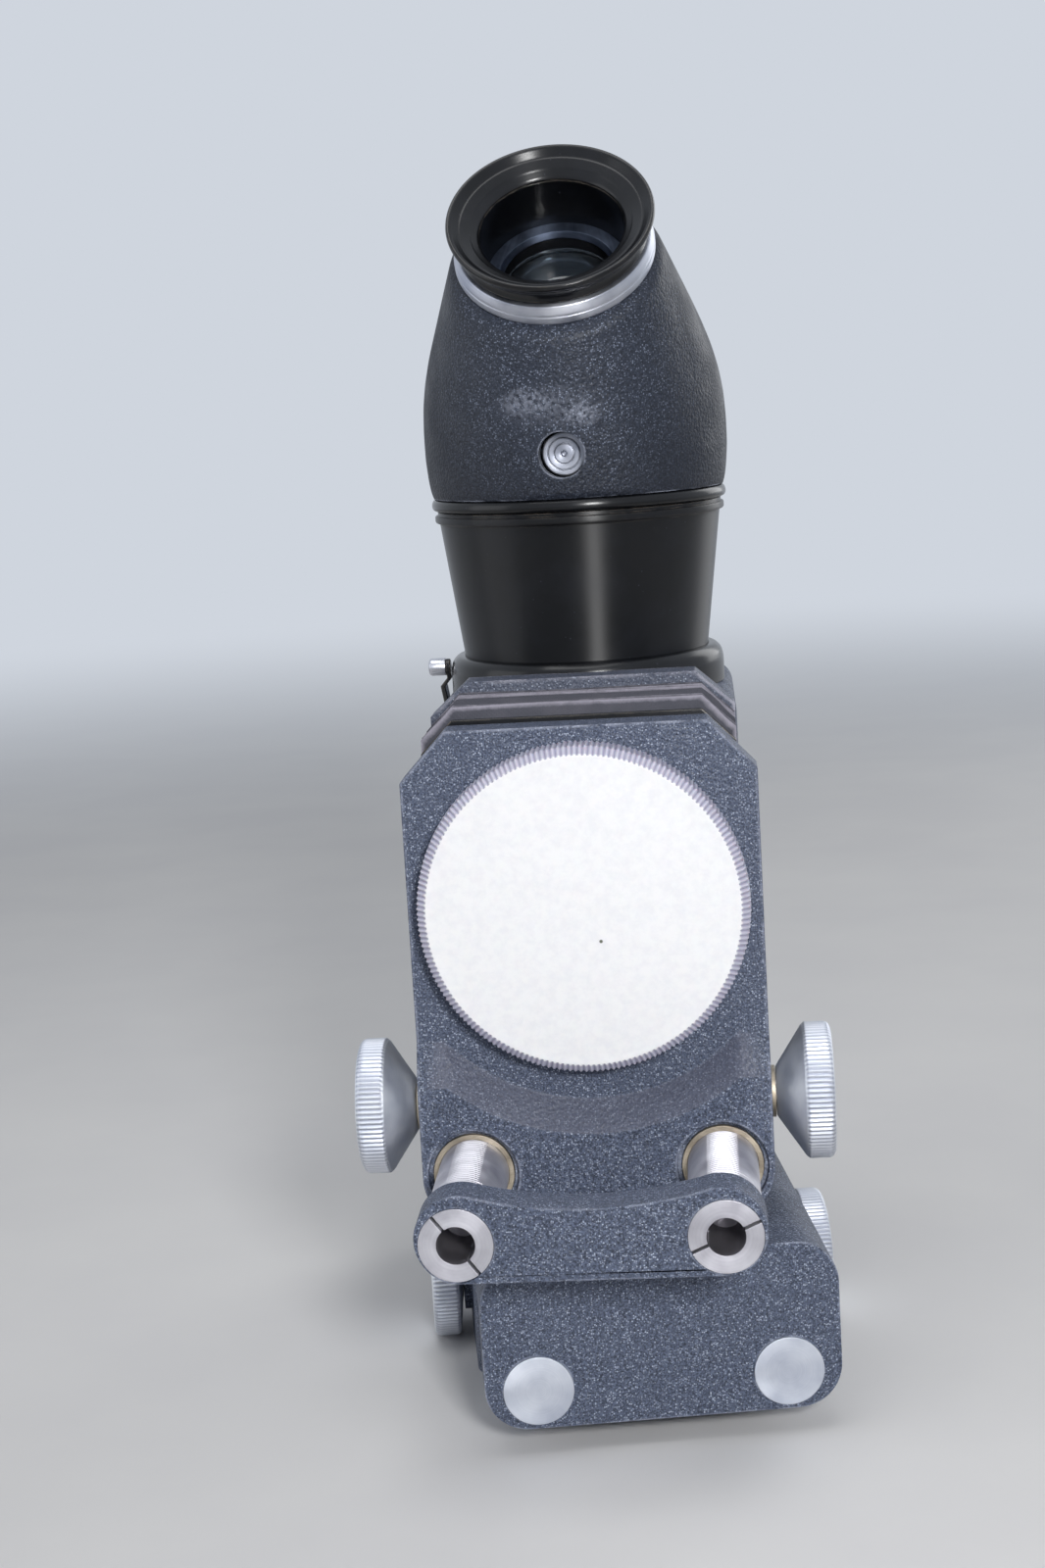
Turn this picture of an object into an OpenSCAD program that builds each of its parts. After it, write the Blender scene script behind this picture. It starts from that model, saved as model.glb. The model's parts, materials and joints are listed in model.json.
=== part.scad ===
// Bellows unit with reflex housing and turning 45 degree prism head, on a twin-rod focusing rail.
// Millimetres. +Z up, -Y towards the lens end. The origin is on the swing axis, level with the base.

/* [Rail] */
// Width of the rail casting across its end plates
rail_w = 65; // [62:0.5:72]
// Length of the rail casting over both end plates
rail_l = 120; // [115:1:150]
// Distance from the swing axis forward to the rail's front face
rail_front = 82.5; // [78:0.5:88]
// Height of the end plates
end_plate_h = 31.5; // [30:0.5:36]
// Thickness of each end plate
end_plate_t = 9; // [6:0.5:11]
// Corner radius of the rail's outline
rail_corner = 8; // [4:0.5:9]
// Gap between the end plates and the surface the rail stands on
rail_clear = 4.8; // [3:0.1:6]
// Thickness of the deck
deck_t = 5.4; // [4:0.2:6]
// Height of the side skirts below the deck's top
skirt_h = 11; // [9:0.5:12]
// Thickness of the side skirts
skirt_t = 4; // [2.5:0.5:5]
// Diameter of the rail rods
rail_rod_d = 12.8; // [10:0.2:14]
// Distance between the rail rods' axes
rail_rod_gap = 45.6; // [42:0.2:46]
// Height of the rail rods' axes above the end plates' lower edge
rail_rod_low = 7.3; // [7:0.1:8.5]
// Angle at which the rail stands to the bellows bed
rail_turn = 7.4; // [-30:0.1:30]

/* [Carriage] */
// Length of the carriage along the rail
carriage_l = 50; // [46:1:52]
// Width of the carriage
carriage_w = 65; // [63:0.5:66]
// Height of the carriage
carriage_h = 22; // [20.5:0.1:22.5]
// Distance that the carriage reaches behind the swing axis
carriage_back = 4; // [2:0.5:8]
// Corner radius of the carriage
carriage_corner = 5; // [2:0.5:8]
// Diameter of the threaded bushes in the carriage and in the bed's foot
bush_d = 12; // [11:0.5:13]
// Wall of the bushes that run on the rail rods
rail_bush_wall = 1.5; // [1:0.1:2]
// Length of each bush in the carriage
rail_bush_l = 10; // [6:0.5:14]
// Diameter of the tripod thread
tripod_d = 6.35; // [6.35, 9.525]
// Depth of the tripod thread
tripod_l = 9; // [7:0.5:12]
// Diameter of the clamp screws
clamp_d = 5; // [4:0.5:6]

/* [Bellows bed] */
// Diameter of the bed rods
bed_rod_d = 13; // [11:0.2:14]
// Distance between the bed rods' axes
bed_rod_gap = 46; // [44:0.5:48]
// Height of the bed rods' axes above the deck
bed_rod_rise = 11; // [10:0.1:13]
// Distance from the swing axis to the bed rods' front ends
bed_front = 105.1; // [100:0.5:115]
// Distance from the swing axis to the bed rods' rear ends
bed_back = 24; // [18:1:26]
// Diameter of the socket in each bed rod's front end
socket_d = 6.7; // [5:0.1:8]
// Depth of the socket
socket_l = 14; // [10:1:20]
// Width of the slit across each rod's front end
slit_w = 0.6; // [0.4:0.1:1]
// Slope of the slit in the left rod, seen from the front
slit_lean_left = 53; // [0:1:90]
// Slope of the slit in the right rod
slit_lean_right = 24; // [0:1:90]
// Thickness of the front bridge
bridge_t = 8; // [6:0.5:10]
// Radius of the bridge's rounded ends
bridge_r = 7.9; // [7.5:0.1:9]
// Dip in the middle of the bridge's upper edge
bridge_dip = 3; // [1:0.5:4]
// Diameter of the swivel foot
foot_d = 32; // [24:1:40]
// Diameter of the swing screw's thread
swing_d = 6.35; // [6.35, 9.525]

/* [Focus drive] */
// Tooth pitch of the racks
rack_pitch = 1; // [0.9:0.05:1.2]
// Teeth on each pinion
pinion_teeth = 33; // [31:1:34]
// Width of each pinion
pinion_w = 6; // [4:0.5:6.5]
// Diameter of the cross shaft
shaft_d = 6; // [5:0.5:6.5]
// Diameter of the knurled knobs
knob_d = 25.2; // [20:0.2:25.6]
// Width of a knob's knurled rim
knob_rim = 5.4; // [4:0.2:6]
// Diameter of a knob's neck
knob_neck_d = 9.4; // [8:0.2:12]
// Ribs round a knob
knob_ribs = 84; // [60:1:100]
// Diameter of the two clamp knobs
clamp_knob_d = 24; // [20:0.2:24.1]
// Distance from the middle to a focus knob's outer face
knob_reach = 43.9; // [42.9:0.5:45.9]
// Distance from the middle to a clamp knob's outer face
clamp_reach = 40.5; // [40.5:0.5:46]

/* [Front standard] */
// Width of the front standard
plate_w = 65; // [64.5:0.5:72]
// Height of the standard's top above the optical axis
plate_top = 32.75; // [31:0.25:36]
// Thickness of the standard's upper plate
plate_t = 7; // [5:0.5:8]
// Distance from the swing axis forward to the plate's face
plate_at = 64; // [62:0.5:66]
// Sideways run of the top corners' chamfers
plate_cut_x = 8.6; // [4:0.2:12]
// Height of the top corners' chamfers
plate_cut_z = 9.2; // [4:0.2:12]
// Height of the optical axis above the bed rods
axis_rise = 49.7; // [48:0.1:54]
// Distance that the rod block stands in front of the plate
block_proud = 4.1; // [2:0.1:5]
// Depth of the rod block behind the plate's face
block_deep = 14; // [13:0.5:15]
// Radius of the lens clearance where it meets the plate
sweep_r = 37; // [34:0.5:38]
// Radius of the lens clearance at the block's front
sweep_r_front = 42.5; // [40:0.5:43]
// Diameter of the recess round each bed rod
rod_recess_d = 16.8; // [15.8:0.2:17]
// Diameter of the lens thread
lens_thread_d = 42; // [38:0.5:44]
// Diameter of the lens ring's flange
lens_flange_d = 56; // [52:0.5:57]
// Furthest travel of the front standard towards the bridge
front_travel = 27.5; // [10:0.5:28]

/* [Cap] */
// Diameter of the cap over its ribs
cap_d = 60.4; // [58:0.2:62]
// Diameter of the cap's flat face
cap_face_d = 56.8; // [50:0.2:57]
// Height of the cap
cap_h = 7.4; // [6:0.2:10]
// Thickness of the cap's face
cap_t = 2; // [1:0.2:3]
// Ribs round the cap
cap_ribs = 190; // [90:1:200]

/* [Bellows] */
// Number of folds
folds = 8; // [5:1:9]
// Half width over the folds
fold_w = 29.25; // [27:0.25:29.25]
// Height of the folds above the optical axis
fold_up = 36; // [33:0.5:36.5]
// Depth of the folds below the optical axis
fold_down = 28.3; // [26:0.1:28.5]
// Depth of a fold
fold_depth = 4.5; // [3:0.25:5]
// Chamfer of the bellows' corners
fold_cut = 6; // [5:0.5:9]
// Thickness of the bellows cloth
cloth_t = 0.6; // [0.4:0.1:1]
// Thickness of the bellows' front frame
frame_t = 1.2; // [1:0.1:2]
// Half width of the front frame
frame_w = 29; // [27:0.25:30]
// Height of the front frame above the optical axis
frame_up = 33.7; // [32.8:0.1:35]

/* [Reflex housing] */
// Width of the rear standard
rear_w = 58.6; // [57:0.2:60]
// Height of the rear standard's top above the optical axis
rear_top = 37.8; // [36.8:0.2:39]
// Thickness of the rear standard's upright
rear_t = 7; // [5:0.5:8]
// Width of the reflex housing
box_w = 59.5; // [59:0.5:62]
// Length of the reflex housing
box_l = 54; // [53:0.5:58]
// Height of the housing above the optical axis
box_up = 32; // [31:0.5:33]
// Depth of the housing below the optical axis
box_down = 39; // [38.5:0.5:39.5]
// Wall of the housing
box_wall = 3; // [2:0.5:3.5]
// Corner radius of the housing
box_corner = 4; // [2:0.5:6]
// Width and height of the light window
window_w = 46; // [42:0.5:47]
// Length of the mirror from its pivot
mirror_l = 42; // [38:0.5:43]
// Width of the mirror
mirror_w = 44; // [40:0.5:48]
// Thickness of the mirror glass
mirror_t = 1.2; // [0.8:0.1:2]
// Diameter of the mirror's pivot pin
pin_d = 3; // [2.5:0.1:3.5]
// Diameter of the lever's thumb button
thumb_d = 3.6; // [3:0.2:4.2]
// Diameter of the camera thread
camera_thread_d = 42; // [38:0.5:44]
// Outer diameter of the camera ring
camera_ring_d = 54; // [50:0.5:58]
// Distance that the camera ring stands behind the housing
camera_ring_t = 4.5; // [3:0.5:8]

/* [Viewing tube] */
// Height of the viewing tube
tube_h = 36.9; // [35:0.1:40]
// Outer diameter of the tube inside its foot flange
tube_foot_d = 49.8; // [49.4:0.2:51]
// Outer diameter of the cone under the tube's band
tube_top_d = 56.6; // [56:0.2:57.6]
// Diameter of the band round the tube's top
tube_band_d = 58; // [57.6:0.2:59]
// Height of the band and flange together
tube_band_h = 3.6; // [2.6:0.2:5]
// Diameter of the flange round the tube's foot
foot_ring_d = 55.8; // [53:0.2:56]
// Height of the foot flange
foot_ring_t = 7.6; // [6:0.2:9]
// Height of the foot flange's bevel
foot_bevel = 3; // [1:0.2:4]
// Wall of the tube
tube_wall = 1.8; // [1.5:0.1:2]
// Diameter of the flange round the tube's top
tube_flange_d = 59.6; // [59:0.2:62]
// Diameter of the seat in which the head turns
seat_d = 53.2; // [51:0.2:53.4]

/* [Prism head] */
// Angle at which the head stands to the bed
head_turn = -2.5; // [-180:0.5:180]
// Diameter of the head at its foot
head_foot_d = 59; // [56:0.5:62]
// Largest diameter of the head
head_d = 61; // [60:0.5:64]
// Wall of the head's casting
head_wall = 3.2; // [2.5:0.1:3.5]
// Height above the head's foot at which the eyepiece axis meets the tube's axis
bend_h = 26.5; // [25:0.1:28]
// Rise of the eyepiece axis above level
eye_tilt = 45; // [40:1:50]
// Distance along the eyepiece axis to the collar's seat
neck_s = 31.5; // [30:0.1:33]
// Diameter of the head's neck at the collar
neck_d = 37.6; // [36:0.2:38.4]
// Height above the head's foot of the clamp screw
head_screw_h = 11; // [8:0.1:13]
// Diameter of the clamp screw's counterbore
head_screw_bore_d = 8.8; // [7:0.2:10]

/* [Eyepiece] */
// Diameter of the eyecup's rim
cup_d = 39.8; // [38:0.2:42]
// Distance along the eyepiece axis to the eyecup's rim
cup_s = 41.6; // [40:0.2:44]
// Diameter of the collar
collar_d = 38.6; // [37.4:0.2:39.6]
// Thickness of the collar
collar_t = 4; // [3:0.2:4.4]
// Outer diameter of the sliding lens cell
cell_d = 31; // [28:0.5:31.5]
// Diameter of the eye lens
eye_lens_d = 22; // [18:0.5:23]
// Inner diameter of the lens cell in front of the lens
cell_bore_d = 27.8; // [25:0.2:28.4]
// Travel of the eyepiece each way
eye_travel = 0.5; // [0.2:0.1:0.6]

/* [Fits] */
// Radial clearance of shafts and slides in their bores
run_fit = 0.05; // [0.02:0.01:0.09]
// Radial clearance of pieces fixed in their seats
seat_fit = 0.02; // [0.01:0.01:0.05]
// Gap between flat faces that slide past each other
face_gap = 0.15; // [0.1:0.05:0.3]

/* [Hidden] */
$fn = 64;

black_cast = "#26272b";
black_gloss = "#101114";
black_cloth = "#33343a";
satin_metal = "#c9ccd2";
chrome_metal = "#b9bcc2";
brass_metal = "#b79b62";
glass_clear = "#cfe0e8";
cap_white = "#f2f3f4";

// Rail levels
rail_back = rail_l - rail_front;
deck_z = rail_clear + end_plate_h;
rail_rod_z = rail_clear + rail_rod_low;
rail_bush_d = rail_rod_d + 2 * (run_fit + rail_bush_wall);
rail_rod_relief = 0.6;
bush_end = 1;
carriage_front = carriage_l - carriage_back;
carriage_mid = (carriage_back - carriage_front) / 2;
clamp_boss_d = 14;
clamp_boss_t = 1.5;
clamp_neck = carriage_w / 2 + clamp_boss_t + face_gap;
rail_rod_proud = 0.4;
knob_edge = 0.5;
knob_rib = 0.3;
knob_cap = 2;
swing_head_d = 18;
swing_head_t = deck_z - deck_t - carriage_h - 2;
swing_l = 9;

// Bed levels
bed_z = deck_z + bed_rod_rise;
axis_z = bed_z + axis_rise;
foot_z = deck_z + face_gap;
bed_floor_z = deck_z + 3;
bridge_back = bed_front - bridge_t;
bridge_drop = 7;
bridge_inset = 0.7;
dip_lap = 1.2;
rod_line_at = 7.6;
rod_line_w = 0.4;

// Rack and pinion
tooth_m = rack_pitch / PI;
pinion_r = pinion_teeth * tooth_m / 2;
tooth_t = rack_pitch / 2 - 0.06;
pressure = 20;
root_depth = 1.25 * tooth_m;
tip_height = 0.9 * tooth_m;
rack_flat = 0.05;
pitch_z = bed_z + bed_rod_d / 2 - tooth_m;
shaft_z = pitch_z + pinion_r;
shaft_y = -plate_at + 4.7;
rack_spare = 2.6;
rack_teeth_ahead = ceil((front_travel + rack_spare) / rack_pitch);
rack_teeth_behind = 6;
pocket_gap = 0.6;

// Front standard
block_front = -plate_at - block_proud;
block_back = -plate_at + block_deep;
block_low_z = deck_z + 1.7;
block_corner = 8.5;
shelf_down = 25;
shelf_front_down = 33;
shelf_z = axis_z - shelf_down;
shelf_front_z = axis_z - shelf_front_down;
rod_recess_t = 1.6;
block_back_top = axis_z - fold_down - 1.4;
guide_bush_d = 15;
guide_bush_in = 0.9;
shaft_bush_d = 8.6;
shaft_bush_l = 4.5;
bush_flange_d = 9.6;
bush_flange_t = 0.8;
knob_neck = plate_w / 2 + bush_flange_t + face_gap;
lens_seat_d = 51;
lens_flange_t = 3;
frame_front = -plate_at + plate_t;
bellows_front = frame_front + frame_t;

// Reflex housing
box_front = -box_l / 2;
box_back = box_l / 2;
rear_front = box_front - rear_t;
box_low_z = axis_z - box_down;
box_top_z = axis_z + box_up;
back_plate_front = box_back - box_wall;
rear_cut_x = 7.3;
rear_cut_z = 6.5;
mirror_y = box_back - box_wall - 3;
mirror_pivot_up = 20.5;
mirror_z = axis_z + mirror_pivot_up;
mirror_barrel_d = pin_d + 2.2;
carrier_t = 1.4;
mirror_edge = 1;
lever_out = box_w / 2 + 0.2;
lever_t = 1;
lever_w = 3.2;
lever_hub_d = 7;
lever_joggle = 1.75;
lever_joggle_h = 2;
lever_up = 16.5;
lever_fore = 21;
rivet_d = 2;
thumb_t = 3.5;
ring_screw_d = 3.4;
ring_screw_t = 1;

// Viewing tube
screen_bore_d = tube_foot_d - 2 * tube_wall + 0.2;
screen_lip = 1.7;
screen_ledge_d = screen_bore_d - 2 * screen_lip;
screen_seat = 2;
screen_t = 1.5;
screen_ring_t = 1.6;
condenser_t = 5;
condenser_edge = 1.2;
band_bevel = 0.5;
flange_t = 1.2;
seat_l = 6;
seat_lip = 1.6;
tube_top_z = box_top_z + tube_h;

// Head
head_z = tube_top_z + face_gap;
spigot_l = 3.6;
spigot_d = seat_d - 2 * run_fit - 0.1;
spigot_wall = 2.4;
bend_z = head_z + bend_h;
head_slice = 1;
head_wide_h = 9;
head_shoulder_h = 23;
head_shoulder_in = 2;
head_shoulder_fore = 1;
head_crown_h = 33.5;
head_crown_in = 5;
head_crown_fore = 5;
neck_root = 3;
neck_open_s = 8;
prism_w = 30;
prism_half = 14.5;
prism_rise = 5;
prism_back_up = 3;
prism_peak_up = 13.8;
prism_peak_y = 1;
prism_front_down = 1.7;
neck_bore_d = cell_d + 2 * run_fit;
cup_back_s = neck_s + collar_t + eye_travel + 0.2;
cell_front_s = cup_back_s + 1.2;
cell_back_s = 16;
lens_bore_l = 9.6;
lens_front_s = cell_back_s + lens_bore_l;
eye_lens_t = 5;
eye_lens_edge = 2.4;
field_lens_t = 3.6;
field_lens_edge = 1.6;
lens_gap = 0.2;
retainer_t = 1.2;
cup_neck_in = 1;
cup_waist = 1.4;
cup_lip = 1.4;
screw_shank_d = 3;
screw_head_t = 1.6;
screw_dimple_d = 1.2;
head_screw_sink = 2.7;
head_screw_y = head_screw_sink - head_d / 2;

// Frames of reference
module on_rail() rotate([0, 0, rail_turn]) children();
module on_head() rotate([0, 0, head_turn]) children();
module on_eye_axis() on_head() translate([0, 0, bend_z]) rotate([90 - eye_tilt, 0, 0]) children();

// An outline drawn in X and Z, made solid from y0 back to y1
module slab_y(y0, y1) translate([0, y1, 0]) rotate([90, 0, 0]) linear_extrude(y1 - y0) children();
// An outline drawn in Y and Z, made solid from x0 to x1
module slab_x(x0, x1) translate([x0, 0, 0]) rotate([90, 0, 90]) linear_extrude(x1 - x0) children();
module rod_y(d, y0, y1) slab_y(y0, y1) circle(d = d);
module rod_x(d, x0, x1) slab_x(x0, x1) circle(d = d);

// Rectangle with round corners, standing on the X axis
module round_rect(w, h, r) {
    translate([-w / 2, r]) square([w, h - 2 * r]);
    translate([r - w / 2, 0]) square([w - 2 * r, h]);
    for (x = [r - w / 2, w / 2 - r], y = [r, h - r]) translate([x, y]) circle(r);
}

// Both sides of the middle: -1 is left, 1 is right
module at_rods(gap, z) for (side = [-1, 1]) translate([side * gap / 2, 0, z]) children();

// ---- Carriage ----

module carriage() color(black_cast) on_rail() difference() {
    union() {
        translate([0, -carriage_front, 0]) linear_extrude(carriage_h)
            round_rect(carriage_w, carriage_l, carriage_corner);
        translate([0, carriage_mid, rail_rod_z])
            rod_x(clamp_boss_d, -carriage_w / 2 - clamp_boss_t, carriage_w / 2 + clamp_boss_t);
    }
    at_rods(rail_rod_gap, rail_rod_z) {
        rod_y(rail_rod_d + 2 * rail_rod_relief, -carriage_front - 1, carriage_back + 1);
        rod_y(rail_bush_d, -carriage_front - 1, rail_bush_l - carriage_front);
        rod_y(rail_bush_d, carriage_back - rail_bush_l, carriage_back + 1);
    }
    for (side = [-1, 1]) translate([side * (rail_rod_gap / 2 + carriage_w / 2), carriage_mid, rail_rod_z])
        rod_x(clamp_d + 2 * run_fit, -carriage_w / 2, carriage_w / 2);
    translate([0, carriage_mid, -1]) cylinder(d = bush_d + 2 * seat_fit, h = tripod_l + bush_end + 1);
}

module carriage_bushes() color(brass_metal) on_rail() at_rods(rail_rod_gap, rail_rod_z)
    for (y = [-carriage_front, carriage_back - rail_bush_l]) difference() {
        rod_y(rail_bush_d - 2 * seat_fit, y, y + rail_bush_l);
        rod_y(rail_rod_d + 2 * run_fit, y - 1, y + rail_bush_l + 1);
    }

module tripod_bush() color(chrome_metal) on_rail() translate([0, carriage_mid, 0]) difference() {
    cylinder(d = bush_d, h = tripod_l + bush_end);
    translate([0, 0, -1]) cylinder(d = tripod_d, h = tripod_l + 1);
}

// ---- Knobs ----

// Ribbed disc, its ribs cut to depth
module ribbed(d, ribs, depth) polygon([for (i = [0 : 2 * ribs - 1])
    let (r = d / 2 - (i % 2) * depth, a = i * 180 / ribs) [r * cos(a), r * sin(a)]]);

// Knob of diameter d on the X axis: its face at reach, its neck starting at near
module knob(d, reach, near, bore_d) difference() {
    union() {
        translate([reach - knob_rim, 0, 0]) rotate([0, 90, 0]) {
            translate([0, 0, knob_edge]) linear_extrude(knob_rim - 2 * knob_edge) ribbed(d, knob_ribs, knob_rib);
            cylinder(d = d - 2 * knob_edge, h = knob_rim);
        }
        translate([near, 0, 0]) rotate([0, 90, 0])
            cylinder(d1 = knob_neck_d, d2 = d - 2 * knob_edge, h = reach - knob_rim - near);
    }
    rod_x(bore_d, near - 1, reach - knob_cap);
}

module clamp_screw() rod_x(clamp_d, rail_rod_gap / 2 + rail_rod_d / 2 + run_fit, clamp_reach - knob_cap - 0.2);
module place_clamp(side) on_rail() translate([0, carriage_mid, rail_rod_z])
    mirror([side < 0 ? 1 : 0, 0, 0]) children();
module clamp_screw_left() color(chrome_metal) place_clamp(-1) clamp_screw();
module clamp_screw_right() color(chrome_metal) place_clamp(1) clamp_screw();
module clamp_knob_left() color(satin_metal) place_clamp(-1)
    knob(clamp_knob_d, clamp_reach, clamp_neck, clamp_d + 2 * seat_fit);
module clamp_knob_right() color(satin_metal) place_clamp(1)
    knob(clamp_knob_d, clamp_reach, clamp_neck, clamp_d + 2 * seat_fit);

// ---- Rail ----

module rail_outline() translate([0, rail_clear]) round_rect(rail_w, end_plate_h, rail_corner);

module rail_casting() color(black_cast) on_rail() difference() {
    union() {
        slab_y(-rail_front, end_plate_t - rail_front) rail_outline();
        slab_y(rail_back - end_plate_t, rail_back) rail_outline();
        slab_y(-rail_front, rail_back) difference() {
            rail_outline();
            translate([-rail_w, 0]) square([2 * rail_w, deck_z - skirt_h]);
            translate([skirt_t - rail_w / 2, 0]) square([rail_w - 2 * skirt_t, deck_z - deck_t]);
        }
    }
    at_rods(rail_rod_gap, rail_rod_z)
        rod_y(rail_rod_d + 2 * seat_fit, -rail_front - 1, rail_back + 1);
    cylinder(d = swing_d + 2 * run_fit, h = deck_z + 1);
}

module rail_rod(side) color(satin_metal) on_rail() translate([side * rail_rod_gap / 2, 0, rail_rod_z])
    rod_y(rail_rod_d, -rail_front - rail_rod_proud, rail_back);
module rail_rod_left() rail_rod(-1);
module rail_rod_right() rail_rod(1);

// Coin-slotted screw under the deck that holds the bed's foot
module swing_screw() color(chrome_metal) on_rail() difference() {
    union() {
        translate([0, 0, deck_z - deck_t - face_gap - swing_head_t]) cylinder(d = swing_head_d, h = swing_head_t);
        translate([0, 0, deck_z - deck_t - 1]) cylinder(d = swing_d, h = deck_t + 1 + swing_l);
    }
    translate([-swing_head_d, -0.8, deck_z - deck_t - face_gap - swing_head_t - 1])
        cube([2 * swing_head_d, 1.6, 2.4]);
}

// ---- Bed ----

module rear_outline() difference() {
    translate([-rear_w / 2, bed_floor_z]) square([rear_w, axis_z + rear_top - bed_floor_z]);
    for (side = [-1, 1]) polygon([
        [side * rear_w / 2, axis_z + rear_top - rear_cut_z],
        [side * rear_w, axis_z + rear_top - rear_cut_z],
        [side * rear_w, axis_z + rear_top + rear_cut_z],
        [side * (rear_w / 2 - rear_cut_x), axis_z + rear_top + rear_cut_z],
        [side * (rear_w / 2 - rear_cut_x), axis_z + rear_top]]);
}

module rear_standard() color(black_cast) difference() {
    union() {
        slab_y(rear_front, box_front) rear_outline();
        translate([0, rear_front, bed_floor_z]) linear_extrude(box_low_z - bed_floor_z)
            round_rect(rear_w + 3.4, box_back - rear_front, box_corner);
        translate([0, 0, foot_z]) cylinder(d = foot_d, h = bed_floor_z - foot_z + 1);
    }
    translate([-window_w / 2, rear_front - 1, axis_z - window_w / 2]) cube([window_w, rear_t + 2, window_w]);
    at_rods(bed_rod_gap, bed_z) rod_y(bed_rod_d + 2 * seat_fit, rear_front - 1, bed_back + 1);
    translate([0, 0, foot_z - 1]) cylinder(d = bush_d + 2 * seat_fit, h = swing_l + bush_end + 1);
    translate([0, 0, box_top_z]) cylinder(d = foot_ring_d + 2 * face_gap, h = rear_top);
}

module foot_bush() color(brass_metal) translate([0, 0, foot_z]) difference() {
    cylinder(d = bush_d, h = swing_l + bush_end - 0.1);
    translate([0, 0, -1]) cylinder(d = swing_d + 2 * run_fit, h = swing_l + 1.1);
}

// Gaps between rack teeth, one of them under the pinion at rest, as an outline in Y and Z
module rack_gaps() {
    lean = tan(pressure);
    gap_half = (rack_pitch - tooth_t) / 2;
    rise = tooth_m - rack_flat;
    polygon(concat(
        [[shaft_y - (rack_teeth_ahead + 0.5) * rack_pitch, bed_rod_d / 2 + 1]],
        [[shaft_y - (rack_teeth_ahead + 0.5) * rack_pitch, bed_rod_d / 2 - rack_flat]],
        [for (i = [-rack_teeth_ahead : rack_teeth_behind]) let (y = shaft_y + i * rack_pitch) each [
            [y - gap_half - rise * lean, bed_rod_d / 2 - rack_flat],
            [y - gap_half + root_depth * lean, bed_rod_d / 2 - tooth_m - root_depth],
            [y + gap_half - root_depth * lean, bed_rod_d / 2 - tooth_m - root_depth],
            [y + gap_half + rise * lean, bed_rod_d / 2 - rack_flat]]],
        [[shaft_y + (rack_teeth_behind + 0.5) * rack_pitch, bed_rod_d / 2 - rack_flat]],
        [[shaft_y + (rack_teeth_behind + 0.5) * rack_pitch, bed_rod_d / 2 + 1]]));
}

module bed_rod(side) color(chrome_metal) translate([side * bed_rod_gap / 2, 0, bed_z]) difference() {
    rod_y(bed_rod_d, -bed_front, bed_back);
    rod_y(socket_d, -bed_front - 1, socket_l - bed_front);
    slab_x(-bed_rod_d, bed_rod_d) rack_gaps();
    translate([0, -bed_front, 0]) rotate([0, side < 0 ? slit_lean_left : -slit_lean_right, 0])
        cube([2 * bed_rod_d, 2 * bridge_t, slit_w], center = true);
    difference() {
        rod_y(bed_rod_d + 2, rod_line_at - bridge_back, rod_line_at + rod_line_w - bridge_back);
        rod_y(bed_rod_d - rod_line_w, -bed_front, 0);
    }
}
module bed_rod_left() bed_rod(-1);
module bed_rod_right() bed_rod(1);

// Bridge that ties the rods' front ends: its upper edge dips in one long curve between the round ends
module front_bridge() color(black_cast) {
    low = bed_z - bridge_drop;
    span = bed_rod_gap / 2 - bridge_inset;
    dip_r = (span * span + bridge_dip * bridge_dip) / (2 * bridge_dip) - bridge_r + dip_lap;
    dip_to = span * (1 - bridge_r / (dip_r + bridge_r));
    difference() {
        slab_y(-bed_front, -bridge_back) {
            difference() {
                translate([-dip_to, low]) square([2 * dip_to, 2 * bridge_r]);
                translate([0, low + 2 * bridge_r - bridge_dip + dip_r]) circle(dip_r, $fn = 180);
            }
            for (side = [-1, 1]) translate([side * span, low + bridge_r]) circle(bridge_r);
            translate([-span, low]) square([2 * span, bridge_r]);
        }
        at_rods(bed_rod_gap, bed_z) rod_y(bed_rod_d + 2 * seat_fit, -bed_front - 1, 1 - bridge_back);
    }
}

// ---- Bellows ----

// Corners of a bellows outline at y, from its half width and its height and depth about the axis
function ring_points(y, w, u, d) = let (c = fold_cut)
    [[w, u - c], [w - c, u], [c - w, u], [-w, u - c], [-w, c - d], [c - w, -d], [w - c, -d], [w, c - d]]
    * [[1, 0, 0], [0, 0, 1]] + [for (i = [0 : 7]) [0, y, axis_z]];
function fold_ring(y, inset) = ring_points(y, fold_w - inset, fold_up - inset, fold_down - inset);

// Number of the point at corner k of a ring, on the outer skin (0) or the inner one (1)
function at(skin, ring, k) = (skin * (2 * folds + 1) + ring) * 8 + k % 8;

module bellows() color(black_cloth) {
    rings = 2 * folds + 1;
    step = (rear_front - bellows_front) / (rings - 1);
    outer = [for (i = [0 : rings - 1]) fold_ring(bellows_front + i * step, i % 2 == 0 ? fold_depth : 0)];
    inner = [for (i = [0 : rings - 1])
        fold_ring(bellows_front + i * step, (i % 2 == 0 ? fold_depth : 0) + cloth_t)];
    points = [for (r = outer) each r, for (r = inner) each r];
    polyhedron(points, [
        for (i = [0 : rings - 2], k = [0 : 7]) each [
            [at(0, i, k), at(0, i, k + 1), at(0, i + 1, k + 1), at(0, i + 1, k)],
            [at(1, i, k), at(1, i + 1, k), at(1, i + 1, k + 1), at(1, i, k + 1)]],
        for (k = [0 : 7]) each [
            [at(0, 0, k), at(1, 0, k), at(1, 0, k + 1), at(0, 0, k + 1)],
            [at(0, rings - 1, k), at(0, rings - 1, k + 1), at(1, rings - 1, k + 1), at(1, rings - 1, k)]]]);
}

module flat_outline(points) polygon([for (p = points) [p[0], p[2]]]);

module bellows_frame() color(black_cast) slab_y(frame_front, bellows_front) difference() {
    flat_outline(ring_points(0, frame_w, frame_up, fold_down - 0.4));
    flat_outline(fold_ring(0, fold_depth + cloth_t));
}

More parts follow.
